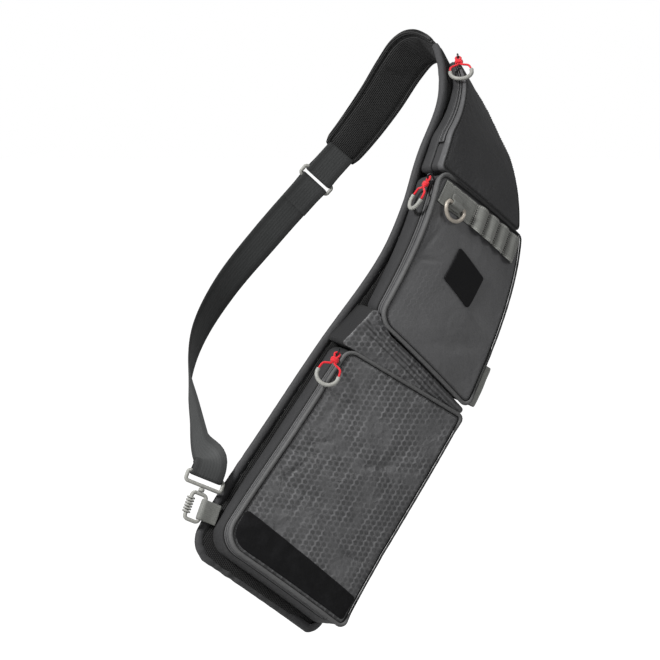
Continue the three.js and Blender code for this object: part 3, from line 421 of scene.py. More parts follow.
def dents(rows, u, v):
    """The depth that a table of folds takes off a front."""
    deep = np.zeros(np.shape(u))
    for across, along, long, wide, turn, depth in rows:
        c, s = math.cos(math.radians(turn)), math.sin(math.radians(turn))
        du, dv = u - across * BAG_WIDTH, v - along * BAG_LENGTH
        a = (du * c + dv * s) / (long / 2)
        b = (dv * c - du * s) / (wide / 2)
        deep += depth * np.exp(-a * a - b * b)
    return deep


def depth_at(v):
    """How far the bag's front stands off the back, without its puff and folds."""
    return smooth(DEPTHS, "deep", np.asarray(v, float) / BAG_LENGTH)


def front_level(name, u, v):
    """The level of a pocket's front, with its puff and main folds, as the CAD has it."""
    alongs = [row[1] * BAG_LENGTH for row in OUTLINES[name]]
    low, high = min(alongs), max(alongs)
    x = np.asarray(u) / (BAG_WIDTH / 2)
    y = (2 * np.asarray(v) - low - high) / (high - low)
    puff = PUFF[name] * np.clip(1 - x * x, 0, None) * np.clip(1 - y * y, 0, None)
    return depth_at(v) + puff - dents(FOLDS, u, v)


def cloth_level(name, u, v):
    """The front with the creases, crumples and seam puckers of real cloth."""
    u, v = np.asarray(u, float), np.asarray(v, float)
    swell, crumple, pucker = CRUMPLES[name]
    inside = edge_distance(name, u, v)
    warp_u = u + 6 * noise(u / 34, v / 34, 11)
    warp_v = v + 6 * noise(u / 34, v / 34, 12)
    broad = noise(warp_u / 42, warp_v / 42, 13)
    sharp = 1 - 2 * np.abs(noise(warp_u / 19, warp_v / 27, 14))
    fine = 1 - 2 * np.abs(noise(warp_u / 8, warp_v / 11, 15))
    rough = ease(0.5 + noise(u / 55, v / 55, 16))
    small = crumple * rough * (0.7 * sharp + 0.3 * fine)
    near_seam = np.exp(-np.clip(inside, 0, None) / 9)
    seam = pucker * near_seam * noise((u + v) / 6, (u - v) / 6, 17)
    away = ease((inside - 1.5) / 10)
    relief = away * (swell * broad + small - CREASE_DEPTH * dents(CREASES, u, v)) + ease(inside / 3) * seam
    return front_level(name, u, v) + relief


def catmull(points, t):
    """A centripetal curve through points, at shares of its parameter."""
    points = np.asarray(points, float)
    last = len(points) - 1
    place = np.clip(np.asarray(t, float), 0, 1) * last
    i = np.minimum(place.astype(int), last - 1)
    w = (place - i)[..., None]
    padded = np.vstack([2 * points[0] - points[1], points, 2 * points[-1] - points[-2]])
    p0, p1, p2, p3 = (padded[i + k] for k in range(4))
    d0, d1, d2 = (
        np.sqrt(np.linalg.norm(b - a, axis=-1, keepdims=True)) for a, b in ((p0, p1), (p1, p2), (p2, p3))
    )
    m1 = ((p1 - p0) / d0 - (p2 - p0) / (d0 + d1) + (p2 - p1) / d1) * d1
    m2 = ((p2 - p1) / d1 - (p3 - p1) / (d1 + d2) + (p3 - p2) / d2) * d1
    return p1 + m1 * w + (3 * (p2 - p1) - 2 * m1 - m2) * w**2 + (2 * (p1 - p2) + m1 + m2) * w**3


def hook_frame():
    """The stiff frame of the snap hook, its origin on the slot ring's lower bar."""
    u, v, n = HOOK_PLACE
    return stiff_frame(u, v, lambda a, b: n, HOOK_TURN)


HOOK = hook_frame()
ROUTE_POINTS = np.vstack(
    [
        worn(-3, BAG_LENGTH, 2),
        np.array(ROUTE)[:, :3],
        framed(HOOK, 0, RING_TALL + 14, 0),
        framed(HOOK, 0, RING_TALL, 0),
    ]
)
ROUTE_OUTS = np.vstack([spine_frame(np.array(1.0))[1], np.array(ROUTE)[:, 3:], HOOK[3], HOOK[3]])
ROUTE_SHARES = np.linspace(0, 1, 201)
ROUTE_GONE = distances(catmull(ROUTE_POINTS, ROUTE_SHARES))
ROUTE_LENGTH = ROUTE_GONE[-1]


def route_frame(distance):
    """Places on the loop strap's route with their ways along, out and across."""
    t = np.interp(distance, ROUTE_GONE, ROUTE_SHARES)
    at = catmull(ROUTE_POINTS, t)
    run = unit(catmull(ROUTE_POINTS, t + 1e-4) - catmull(ROUTE_POINTS, t - 1e-4))
    place = t * (len(ROUTE_OUTS) - 1)
    i = np.minimum(place.astype(int), len(ROUTE_OUTS) - 2)
    w = (place - i)[..., None]
    out = ROUTE_OUTS[i] * (1 - w) + ROUTE_OUTS[i + 1] * w
    out = unit(out - run * (out * run).sum(-1, keepdims=True))
    return at, run, out, np.cross(run, out)


# Nodes and materials


def put(tree, kind, inputs=None, **settings):
    """Adds a node, sets it, and joins or fills its inputs by name or number."""
    node = tree.nodes.new(kind)
    for key, value in settings.items():
        setattr(node, key, value)
    for key, value in (inputs or {}).items():
        if isinstance(value, bpy.types.NodeSocket):
            tree.links.new(value, node.inputs[key])
        else:
            node.inputs[key].default_value = value
    return node


def calc(tree, operation, a, b=0.0, c=0.0):
    """The result of a Math node."""
    return put(tree, "ShaderNodeMath", {0: a, 1: b, 2: c}, operation=operation).outputs[0]


def vector_calc(tree, operation, a, b=(0, 0, 0), c=(0, 0, 0), out="Vector"):
    """The result of a Vector Math node."""
    node = put(tree, "ShaderNodeVectorMath", {0: a, 1: b, 2: c}, operation=operation)
    return node.outputs[out]


def mixed(tree, share, a, b):
    """A colour between two others."""
    return put(tree, "ShaderNodeMix", {0: share, 6: a, 7: b}, data_type="RGBA").outputs[2]


def spread(tree, value, low, high, to_low=0.0, to_high=1.0):
    """A value carried from one range to another, smoothly and clamped."""
    inputs = {"Value": value, "From Min": low, "From Max": high, "To Min": to_low, "To Max": to_high}
    return put(tree, "ShaderNodeMapRange", inputs, interpolation_type="SMOOTHSTEP").outputs[0]


def new_group(name, inputs, outputs):
    """An empty shader group with named sockets, and its two end nodes."""
    tree = bpy.data.node_groups.new(name, "ShaderNodeTree")
    for label, kind, default in inputs:
        socket = tree.interface.new_socket(label, in_out="INPUT", socket_type="NodeSocket" + kind)
        if default is not None:
            socket.default_value = default
    for label, kind in outputs:
        tree.interface.new_socket(label, in_out="OUTPUT", socket_type="NodeSocket" + kind)
    return tree, tree.nodes.new("NodeGroupInput"), tree.nodes.new("NodeGroupOutput")


# The honeycomb's threads: how strong those across the zigzags are, and how soft their edges
CROSS_LINK = 0.14
THREAD_EDGE = 0.02


def honeycomb_group():
    """Six-sided cells between zigzag lines that run along the bag, their cross links fainter, with a slope
    across each cell for light painted on one side of it.
    """
    tree, given, made = new_group(
        "Honeycomb",
        [("Vector", "Vector", None), ("Cell", "Float", 0.0072), ("Line", "Float", 0.1)],
        [("Lines", "Float"), ("Painted light", "Float"), ("Dome", "Float"), ("Height", "Float")],
    )
    half = (0.5, math.sqrt(3) / 2, 0.5)
    back = tuple(-x for x in half)
    size = put(tree, "ShaderNodeCombineXYZ", {k: given.outputs["Cell"] for k in range(3)}).outputs[0]
    flat = put(tree, "ShaderNodeSeparateXYZ", {0: given.outputs["Vector"]})
    turned = put(tree, "ShaderNodeCombineXYZ", {0: flat.outputs[1], 1: flat.outputs[0]}).outputs[0]
    place = vector_calc(tree, "DIVIDE", turned, size)
    first = vector_calc(tree, "WRAP", place, half, back)
    second = vector_calc(tree, "WRAP", vector_calc(tree, "SUBTRACT", place, half), half, back)
    far = vector_calc(tree, "LENGTH", first, out="Value")
    near = vector_calc(tree, "LENGTH", second, out="Value")
    choose = calc(tree, "GREATER_THAN", far, near)
    mix = put(tree, "ShaderNodeMix", {0: choose, 4: first, 5: second}, data_type="VECTOR")
    inside = mix.outputs[1]
    parts = put(tree, "ShaderNodeSeparateXYZ", {0: vector_calc(tree, "ABSOLUTE", inside)})
    lean = calc(tree, "MULTIPLY", parts.outputs[0], 0.5)
    slant = calc(tree, "MULTIPLY_ADD", parts.outputs[1], half[1], lean)
    line = given.outputs["Line"]
    zigzag = spread(tree, calc(tree, "SUBTRACT", 0.5, slant), line, THREAD_EDGE)
    across = calc(tree, "SUBTRACT", 0.5, parts.outputs[0])
    link = spread(tree, across, line, THREAD_EDGE, to_high=CROSS_LINK)
    lines = calc(tree, "MAXIMUM", zigzag, link)
    signed = put(tree, "ShaderNodeSeparateXYZ", {0: inside})
    # A slope across each cell, used as painted light
    painted_slope_light = calc(tree, "MULTIPLY_ADD", signed.outputs[0], 0.3, calc(tree, "MULTIPLY", signed.outputs[1], 0.9))
    reach = calc(tree, "MAXIMUM", parts.outputs[0], slant)
    dome = spread(tree, calc(tree, "SUBTRACT", 0.5, reach), 0.0, 0.3)
    tree.links.new(lines, made.inputs["Lines"])
    tree.links.new(painted_slope_light, made.inputs["Painted light"])
    tree.links.new(dome, made.inputs["Dome"])
    height = calc(tree, "MULTIPLY_ADD", lines, 0.9, calc(tree, "MULTIPLY", dome, 0.12))
    tree.links.new(height, made.inputs["Height"])
    return tree


def weave_group():
    """A plain weave: warp and weft crossing over and under each other."""
    tree, given, made = new_group(
        "Weave",
        [("Vector", "Vector", None), ("Warp", "Float", 0.0008), ("Weft", "Float", 0.0008)],
        [("Height", "Float")],
    )
    parts = put(tree, "ShaderNodeSeparateXYZ", {0: given.outputs["Vector"]})
    x = calc(tree, "MULTIPLY", calc(tree, "DIVIDE", parts.outputs[0], given.outputs["Warp"]), math.pi)
    y = calc(tree, "MULTIPLY", calc(tree, "DIVIDE", parts.outputs[1], given.outputs["Weft"]), math.pi)
    sx, sy = calc(tree, "SINE", x), calc(tree, "SINE", y)
    over = calc(tree, "MULTIPLY_ADD", calc(tree, "MULTIPLY", sx, sy), 0.5, 0.5)
    warp = calc(tree, "MULTIPLY", calc(tree, "ABSOLUTE", sx), over)
    weft = calc(tree, "MULTIPLY", calc(tree, "ABSOLUTE", sy), calc(tree, "SUBTRACT", 1.0, over))
    tree.links.new(calc(tree, "ADD", warp, weft), made.inputs["Height"])
    return tree


# How dark the painted shade in a seam's groove gets
SEAM_SHADE = 0.85


def wear_and_shade_group():
    """Uneven dye, paler rubbed cloth along the edges, and painted shade in the seams' grooves."""
    tree, given, made = new_group(
        "Dye, wear and painted shade",
        [
            ("Color", "Color", None),
            ("Vector", "Vector", None),
            ("Edge", "Float", 0.0),
            ("Seam", "Float", 0.0),
            ("Amount", "Float", 1.0),
        ],
        [("Color", "Color"), ("Roughness", "Float")],
    )
    broad = put(tree, "ShaderNodeTexNoise", {"Vector": given.outputs["Vector"], "Scale": 16.0, "Detail": 3.0})
    fine = put(tree, "ShaderNodeTexNoise", {"Vector": given.outputs["Vector"], "Scale": 700.0, "Detail": 2.0})
    rub = put(tree, "ShaderNodeTexNoise", {"Vector": given.outputs["Vector"], "Scale": 150.0, "Detail": 4.0})
    low = calc(tree, "MULTIPLY_ADD", calc(tree, "SUBTRACT", broad.outputs[0], 0.5), 0.5, 1.0)
    grain = calc(tree, "MULTIPLY_ADD", calc(tree, "SUBTRACT", fine.outputs[0], 0.5), 0.5, low)
    rubbed = calc(tree, "MULTIPLY", given.outputs["Edge"], spread(tree, rub.outputs[0], 0.4, 0.65))
    light = calc(tree, "MULTIPLY_ADD", rubbed, 0.6, grain)
    shade = calc(tree, "MULTIPLY_ADD", calc(tree, "SUBTRACT", light, 1.0), given.outputs["Amount"], 1.0)
    # Painted shade: the seam mark darkens the colour in grooves, slits and creases
    seam = calc(tree, "MULTIPLY_ADD", given.outputs["Seam"], -SEAM_SHADE, 1.0)
    shade = calc(tree, "MULTIPLY", shade, seam)
    toned = put(tree, "ShaderNodeVectorMath", {0: given.outputs["Color"], "Scale": shade}, operation="SCALE")
    tree.links.new(toned.outputs[0], made.inputs["Color"])
    rough = calc(tree, "MULTIPLY_ADD", broad.outputs[0], 0.16, -0.08)
    tree.links.new(rough, made.inputs["Roughness"])
    return tree


def crumple_group():
    """The small creases that cloth keeps, as a height."""
    tree, given, made = new_group(
        "Crumple",
        [("Vector", "Vector", None), ("Size", "Float", 60.0)],
        [("Height", "Float")],
    )
    inputs = {"Vector": given.outputs["Vector"], "Scale": given.outputs["Size"]}
    folds = put(tree, "ShaderNodeTexNoise", {**inputs, "Detail": 3.0, "Distortion": 0.4})
    ridge = calc(tree, "ABSOLUTE", calc(tree, "SUBTRACT", folds.outputs[0], 0.5))
    height = calc(tree, "MULTIPLY_ADD", ridge, -2.0, 1.0)
    tree.links.new(height, made.inputs["Height"])
    return tree


GROUPS = {
    "Honeycomb": honeycomb_group,
    "Weave": weave_group,
    "Dye, wear and painted shade": wear_and_shade_group,
    "Crumple": crumple_group,
}


def grouped(tree, name, inputs):
    """A shader group placed in a material, built at its first use."""
    group = bpy.data.node_groups.get(name) or GROUPS[name]()
    return put(tree, "ShaderNodeGroup", inputs, node_tree=group)


def paint(code):
    """A colour from its six-digit code, as linear red, green, blue and alpha."""
    parts = [int(code[i : i + 2], 16) / 255 for i in (0, 2, 4)]
    line = [p / 12.92 if p <= 0.04045 else ((p + 0.055) / 1.055) ** 2.4 for p in parts]
    return (*line, 1.0)


# What every material's name here starts with, apart from the CAD's own materials
LOOK = "sling "


def scaled(colour, share):
    """A colour made darker or lighter."""
    return tuple(min(1.0, part * share) for part in colour[:3]) + (1.0,)


class Finish:
    """A material under construction: its tree, its shader and its coordinates."""

    def __init__(self, name, roughness, sheen=0.0, metallic=0.0, specular=0.3):
        self.material = bpy.data.materials.new(LOOK + name)
        self.material.use_nodes = True
        self.tree = self.material.node_tree
        self.shader = self.tree.nodes["Principled BSDF"]
        self.shader.inputs["Roughness"].default_value = roughness
        self.shader.inputs["Sheen Weight"].default_value = sheen
        self.shader.inputs["Sheen Roughness"].default_value = 0.5
        self.shader.inputs["Metallic"].default_value = metallic
        self.shader.inputs["Specular IOR Level"].default_value = specular
        self.roughness = roughness
        self.uv = put(self.tree, "ShaderNodeUVMap", uv_map="UVMap").outputs[0]
        self.place = put(self.tree, "ShaderNodeTexCoord").outputs["Object"]
        self.edge = put(self.tree, "ShaderNodeAttribute", attribute_name="edge").outputs["Fac"]
        # The seam mark says where shade is painted into the colour: in grooves, slits and creases
        self.seam = put(self.tree, "ShaderNodeAttribute", attribute_name="seam").outputs["Fac"]
        self.heights = []

    def colour(self, colour, amount=1.0):
        """Sends a colour through the group of dye, wear and painted seam shade to the shader."""
        inputs = {
            "Color": colour,
            "Vector": self.place,
            "Edge": self.edge,
            "Seam": self.seam,
            "Amount": amount,
        }
        dye_wear_shade = grouped(self.tree, "Dye, wear and painted shade", inputs)
        self.tree.links.new(dye_wear_shade.outputs["Color"], self.shader.inputs["Base Color"])
        rough = calc(self.tree, "ADD", dye_wear_shade.outputs["Roughness"], self.roughness)
        self.tree.links.new(rough, self.shader.inputs["Roughness"])

    def bump(self, height, deep):
        """Adds a height to the surface, deep in metres."""
        self.heights.append(calc(self.tree, "MULTIPLY", height, deep / MM))

    def crumple(self, size, deep):
        """Adds the small creases that cloth keeps, more of them for a larger size."""
        inputs = {"Vector": self.place, "Size": size}
        self.bump(grouped(self.tree, "Crumple", inputs).outputs[0], deep)

    def weave(self, warp, weft, vector=None):
        """The height of a weave, the widths of its threads in metres."""
        inputs = {"Vector": vector or self.uv, "Warp": warp, "Weft": weft}
        return grouped(self.tree, "Weave", inputs).outputs["Height"]

    def grain(self, vector, scale, detail):
        """Fine noise from 0 to 1."""
        inputs = {"Vector": vector, "Scale": scale, "Detail": detail}
        return put(self.tree, "ShaderNodeTexNoise", inputs).outputs[0]

    def done(self):
        """Joins the heights to the shader's normal and gives the material."""
        total = self.heights[0]
        for height in self.heights[1:]:
            total = calc(self.tree, "ADD", total, height)
        inputs = {"Height": total, "Distance": MM, "Strength": 1.0}
        bump = put(self.tree, "ShaderNodeBump", inputs)
        self.tree.links.new(bump.outputs[0], self.shader.inputs["Normal"])
        return self.material


def ripstop(settings):
    """Grey coated cloth with a honeycomb of raised threads, worn faint in places, its threads lighter on one
    side of each cell as painted light.
    """
    f = Finish("ripstop", 0.42, sheen=0.02, specular=0.45)
    cells = grouped(f.tree, "Honeycomb", {"Vector": f.uv, "Cell": settings.cell, "Line": 0.13})
    shown = spread(f.tree, f.grain(f.uv, 26.0, 3.0), 0.36, 0.56, 0.15, 1.0)
    base = tuple(settings.ripstop)
    hollow = calc(f.tree, "MULTIPLY", spread(f.tree, cells.outputs["Dome"], 0.35, 1.0), shown)
    cell = mixed(f.tree, hollow, base, scaled(base, 0.6))
    # Painted light: the threads are lighter on one side of each cell
    painted_cell_light = spread(f.tree, cells.outputs["Painted light"], -0.3, 0.3, 0.25, 0.8)
    lines = calc(f.tree, "MULTIPLY", calc(f.tree, "MULTIPLY", cells.outputs["Lines"], painted_cell_light), shown)
    f.colour(mixed(f.tree, lines, cell, scaled(base, 1.75)))
    f.bump(calc(f.tree, "MULTIPLY", cells.outputs["Height"], shown), 0.00025)
    f.bump(f.weave(0.0005, 0.0005), 0.00003)
    f.crumple(30.0, 0.0024)
    return f.done()


def plain_cloth(settings):
    """The same coated cloth, dark and nearly plain, its cells only faintly pressed in."""
    f = Finish("plain_cloth", 0.46, sheen=0.02, specular=0.4)
    cells = grouped(f.tree, "Honeycomb", {"Vector": f.uv, "Cell": settings.cell, "Line": 0.1})
    fade = f.grain(f.uv, 18.0, 2.0)
    left = put(f.tree, "ShaderNodeSeparateXYZ", {0: f.uv}).outputs[0]
    shown = calc(f.tree, "MULTIPLY", spread(f.tree, left, 0.0, -0.06), spread(f.tree, fade, 0.42, 0.58))
    base = tuple(settings.plain)
    light = scaled(base, 1.25)
    f.colour(mixed(f.tree, calc(f.tree, "MULTIPLY", cells.outputs["Lines"], shown), base, light))
    f.bump(calc(f.tree, "MULTIPLY", cells.outputs["Height"], shown), 0.00018)
    f.bump(f.weave(0.00055, 0.00055), 0.00005)
    f.crumple(60.0, 0.0004)
    return f.done()


def woven(name, colour, roughness, warp, weft, deep, crumple=0.0, sheen=0.02):
    """A finish for cloth or webbing with a weave that shows."""
    f = Finish(name, roughness, sheen=sheen)
    threads = f.weave(warp, weft)
    colour = tuple(colour)
    dark = scaled(colour, 0.72)
    f.colour(mixed(f.tree, spread(f.tree, threads, 0.1, 0.7), dark, colour))
    f.bump(threads, deep)
    if crumple:
        f.crumple(110.0, crumple)
    return f.done()


def black_cloth(settings):
    """Smooth stretch cloth of the shoulder section."""
    return woven("black_cloth", settings.black, 0.56, 0.0006, 0.0006, 0.00004, crumple=0.0009)


def brushed_cloth(settings):
    """The black foot band: brushed cloth with short pile."""
    f = Finish("brushed_cloth", 0.85, sheen=0.03, specular=0.12)
    pile = f.grain(f.place, 420.0, 4.0)
    blot = f.grain(f.place, 75.0, 5.0)
    base = tuple(settings.band)
    light = scaled(base, 1.7)
    f.colour(mixed(f.tree, spread(f.tree, blot, 0.42, 0.75), base, light))
    f.bump(pile, 0.0005)
    f.bump(blot, 0.0012)
    return f.done()


def gusset_cloth(settings):
    """The dark grey cloth of the pockets' side walls."""
    return woven("gusset_cloth", settings.gusset, 0.6, 0.0006, 0.0006, 0.00005, crumple=0.0005)


def side_cloth(settings):
    """The lighter grey cloth above the zips."""
    return woven("side_cloth", settings.side, 0.58, 0.0006, 0.0006, 0.00005, crumple=0.0004)


def piping_cloth(settings):
    """Grey bias tape on the piping."""
    return woven("piping_cloth", settings.piping, 0.68, 0.0009, 0.0009, 0.00008, crumple=0.0003)


def edge_tape(settings):
    """Darker bias tape round the back panel."""
    return woven("edge_tape", settings.edging, 0.72, 0.0009, 0.0009, 0.0001, crumple=0.0006)


def zip_tape(settings):
    """Herringbone zip tape."""
    return woven("zip_tape", settings.tape, 0.66, 0.0011, 0.0007, 0.0001)


def zip_teeth(settings):
    """Moulded nylon coil."""
    f = Finish("zip_teeth", 0.38)
    f.colour(tuple(settings.teeth), 0.5)
    f.bump(f.grain(f.place, 1500.0, 2.0), 0.00002)
    return f.done()


def painted_slit_shade(settings):
    """Painted shade for the inside of a slit or fold: a near-black cloth where the opening lies in shade."""
    return woven("painted_slit_shade", paint("121212"), 0.9, 0.0008, 0.0008, 0.00005)


def webbing(settings):
    """Grey woven webbing with ribs across it."""
    return woven("webbing", settings.webbing, 0.66, 0.0022, 0.0011, 0.00022, sheen=0.05)


def strap_webbing(settings):
    """Dark strap webbing, paler along its middle."""
    f = Finish("strap_webbing", 0.66, sheen=0.02)
    threads = f.weave(0.0024, 0.0012)
    across = put(f.tree, "ShaderNodeAttribute", attribute_name="middle").outputs["Fac"]
    base = tuple(settings.strap)
    light = scaled(base, 1.5)
    dark = scaled(base, 0.7)
    strip = mixed(f.tree, spread(f.tree, across, 0.25, 0.5), base, light)
    f.colour(mixed(f.tree, spread(f.tree, threads, 0.5, 0.1), strip, dark))
    f.bump(threads, 0.00025)
    return f.done()


def air_mesh(settings):
    """Knitted spacer mesh with small round holes, painted near black as the shade inside them."""
    f = Finish("air_mesh", 0.9, sheen=0.02, specular=0.1)
    cells = grouped(f.tree, "Honeycomb", {"Vector": f.uv, "Cell": settings.mesh_cell, "Line": 0.3})
    base = tuple(settings.mesh)
    # Painted shade: the holes are darkened as the shade inside them
    hole = scaled(base, 0.18)
    solid = spread(f.tree, cells.outputs["Lines"], 0.15, 0.6)
    knit = f.grain(f.uv, 1800.0, 2.0)
    thread = mixed(f.tree, spread(f.tree, knit, 0.3, 0.7), base, scaled(base, 1.6))
    f.colour(mixed(f.tree, solid, hole, thread))
    f.bump(solid, 0.0006)
    f.bump(knit, 0.0001)
    return f.done()


def cord_cloth(settings):
    """Red braided cord."""
    f = Finish("cord_cloth", 0.6, sheen=0.3)
    twist = put(f.tree, "ShaderNodeMapping", {"Vector": f.uv, "Rotation": (0, 0, math.radians(45))})
    threads = f.weave(0.0009, 0.0009, twist.outputs[0])
    base = tuple(settings.cord)
    dark = scaled(base, 0.55)
    f.colour(mixed(f.tree, spread(f.tree, threads, 0.1, 0.7), dark, base), 0.6)
    f.bump(threads, 0.00018)
    return f.done()


def hoop_rubber(settings):
    """Grey moulded rubber with a fine grain."""
    f = Finish("hoop_rubber", 0.5)
    fleck = f.grain(f.place, 900.0, 3.0)
    base = tuple(settings.hoop)
    dark = scaled(base, 0.7)
    f.colour(mixed(f.tree, spread(f.tree, fleck, 0.45, 0.35), base, dark), 0.8)
    f.bump(fleck, 0.0001)
    return f.done()


def ring_enamel(settings):
    """The D-ring's pale enamelled metal, rubbed where cloth and hooks touch it."""
    f = Finish("ring_enamel", 0.36, metallic=0.35)
    rub = f.grain(f.place, 260.0, 4.0)
    base = tuple(settings.ring)
    dark = scaled(base, 0.6)
    f.colour(mixed(f.tree, spread(f.tree, rub, 0.62, 0.72), base, dark), 0.7)
    f.bump(rub, 0.00006)
    return f.done()


def slider_metal(settings):
    """Dark coated zip sliders."""
    f = Finish("slider_metal", 0.34, metallic=0.8)
    rub = f.grain(f.place, 600.0, 3.0)
    f.colour(mixed(f.tree, spread(f.tree, rub, 0.55, 0.7), paint("2e2e30"), paint("6a6a6c")), 0.6)
    f.bump(rub, 0.00003)
    return f.done()


def label_leather(settings):
    """Black coated patch with a fine leather grain."""
    f = Finish("label_leather", 0.5, specular=0.15)
    grain = put(f.tree, "ShaderNodeTexVoronoi", {"Vector": f.place, "Scale": 900.0}).outputs["Distance"]
    base = tuple(settings.label)
    f.colour(mixed(f.tree, spread(f.tree, grain, 0.1, 0.5), base, scaled(base, 1.6)), 0.8)
    f.bump(grain, 0.0001)
    f.bump(f.weave(0.0012, 0.0012), 0.00005)
    return f.done()


def thread(name, colour):
    """Sewing thread, twisted along each stitch."""
    f = Finish(name, 0.6, sheen=0.2)
    inputs = {"Vector": f.place, "Scale": 900.0, "Distortion": 1.0}
    twist = put(f.tree, "ShaderNodeTexWave", inputs).outputs[1]
    f.colour(mixed(f.tree, twist, scaled(colour, 0.6), tuple(colour)), 0.5)
    f.bump(twist, 0.0001)
    return f.done()


def dark_thread(settings):
    """The dark thread of most seams."""
    return thread("dark_thread", paint("262626"))


def grey_thread(settings):
    """The pale grey thread of the webbing."""
    return thread("grey_thread", paint("b4b4ae"))


# Every look by its name; each function takes the colour settings, whether it needs them or not
FINISHES = {
    "ripstop": ripstop,
    "plain_cloth": plain_cloth,
    "black_cloth": black_cloth,
    "brushed_cloth": brushed_cloth,
    "gusset_cloth": gusset_cloth,
    "side_cloth": side_cloth,
    "piping_cloth": piping_cloth,
    "edge_tape": edge_tape,
    "zip_tape": zip_tape,
    "zip_teeth": zip_teeth,
    "painted_slit_shade": painted_slit_shade,
    "webbing": webbing,
    "strap_webbing": strap_webbing,
    "air_mesh": air_mesh,
    "cord_cloth": cord_cloth,
    "hoop_rubber": hoop_rubber,
    "ring_enamel": ring_enamel,
    "slider_metal": slider_metal,
    "label_leather": label_leather,
    "dark_thread": dark_thread,
    "grey_thread": grey_thread,
}


def finish(name):
    """A material by name, made at its first use."""
    return bpy.data.materials.get(LOOK + name) or FINISHES[name](bpy.context.scene.sling_finish)


# Meshes


def skin(name, places, looks, wrap_rows=False, uvs=None, which=None, marks=None):
    """A mesh from rows of places in mm that go round, its open ends closed.

    uvs are in metres for each row and column; which gives the look of each row's faces or
    of each face; marks are named numbers for each place.
    """
    rows, cols = places.shape[:2]
    r, c = np.meshgrid(np.arange(rows if wrap_rows else rows - 1), np.arange(cols), indexing="ij")
    r, c = r.ravel(), c.ravel()
    r2, c2 = (r + 1) % rows, (c + 1) % cols
    quads = np.stack([r * cols + c, r * cols + c2, r2 * cols + c2, r2 * cols + c], -1)
    if uvs is None:
        uvs = flat_map(places)

    def corner(a, b):
        return uvs[np.minimum(a, uvs.shape[0] - 1), np.minimum(b, uvs.shape[1] - 1)]

    maps = np.stack([corner(r, c), corner(r, c + 1), corner(r + 1, c + 1), corner(r + 1, c)], 1)
    kinds = np.zeros(len(quads), int)
    if which is not None:
        kinds = np.asarray(which)[r] if np.ndim(which) == 1 else np.asarray(which)[r, c]
    points = places.reshape(-1, 3) * MM
    faces, maps, kinds = quads.tolist(), maps.reshape(-1, 2), kinds.tolist()
    end_kinds = (kinds[0], kinds[-1])
    if not wrap_rows:
        for row, way, kind in ((0, -1, end_kinds[0]), (rows - 1, 1, end_kinds[1])):
            middle = len(points)
            points = np.vstack([points, points[row * cols : (row + 1) * cols].mean(0)])
            ring = np.arange(cols)
            step = np.roll(ring, -way)
            faces += [[middle, row * cols + a, row * cols + b] for a, b in zip(ring, step)]
            near = uvs[min(row, uvs.shape[0] - 1), :cols]
            fan = np.stack([np.broadcast_to(near.mean(0), near.shape), near, np.roll(near, -way, axis=0)], 1)
            maps = np.vstack([maps, fan.reshape(-1, 2)])
            kinds += [kind] * cols
    mesh = bpy.data.meshes.new(name)
    mesh.from_pydata(points.tolist(), [], faces)
    layer = mesh.uv_layers.new(name="UVMap")
    layer.data.foreach_set("uv", maps.astype(np.float32).ravel())
    mesh.polygons.foreach_set("material_index", kinds)
    for look in looks:
        mesh.materials.append(finish(look))
    for label, values in (marks or {}).items():
        full = np.zeros(len(points), np.float32)
        full[: rows * cols] = np.broadcast_to(values, (rows, cols)).ravel()
        mesh.attributes.new(label, "FLOAT", "POINT").data.foreach_set("value", full)
    if volume(mesh) < 0:
        mesh.flip_normals()
    mesh.shade_smooth()
    mesh.update()
    return mesh


def flat_map(places):
    """Distances across the columns and along the rows of a skin, in metres."""
    across = np.linalg.norm(np.roll(places, -1, axis=1) - places, axis=2).mean(0)
    along = np.linalg.norm(np.roll(places, -1, axis=0) - places, axis=2).mean(1)
    x, y = np.r_[0, np.cumsum(across)], np.r_[0, np.cumsum(along)]
    return np.stack(np.meshgrid(x, y), -1) * MM


def volume(mesh):
    """Six times the signed volume inside a closed mesh."""
    mesh.calc_loop_triangles()
    corners = np.empty(len(mesh.loop_triangles) * 3, int)
    mesh.loop_triangles.foreach_get("vertices", corners)
    points = np.empty(len(mesh.vertices) * 3)
    mesh.vertices.foreach_get("co", points)
    a, b, c = np.moveaxis(points.reshape(-1, 3)[corners].reshape(-1, 3, 3), 1, 0)
    return (a * np.cross(b, c)).sum()


def piece(name, mesh, slot, *nodes, body="bag"):
    """An object from a mesh, riding on a body and standing for CAD nodes."""
    shown = bpy.data.objects.new(name, mesh)
    bpy.context.scene.collection.objects.link(shown)
    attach(shown, body)
    if nodes:
        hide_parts(*nodes)
    return shown


def tube(name, path, radius, look, sides, closed=False):
    """A round tube along places, radius a number or one for each place."""
    path = np.asarray(path, float)
    if closed:
        run = unit(np.roll(path, -1, axis=0) - np.roll(path, 1, axis=0))
    else:
        run = unit(np.gradient(path, axis=0))
    side = np.cross((0, 0, 1) if abs(run[0][2]) < 0.8 else (1, 0, 0), run[0])
    angle = np.linspace(0, 2 * np.pi, sides, endpoint=False)
    radius = np.broadcast_to(radius, len(path))
    places = np.empty((len(path), sides, 3))
    for i, at in enumerate(path):
        side = unit(side - run[i] * (side @ run[i]))
        other = np.cross(run[i], side)
        ring = np.outer(np.cos(angle), side) + np.outer(np.sin(angle), other)
        places[i] = at + radius[i] * ring
    return skin(name, places, [look], wrap_rows=closed)


STRAP_CUTS = 13


def strap_section(cuts):
    """A flat strap's section: places across it from -1 to 1 and back, and out from its middle."""
    share = np.sin(np.linspace(-np.pi / 2, np.pi / 2, cuts))
    body = np.sqrt(np.clip(1 - np.abs(share) ** 14, 0.04, 1))
    return np.r_[share, share[::-1]], np.r_[-body, body[::-1]]


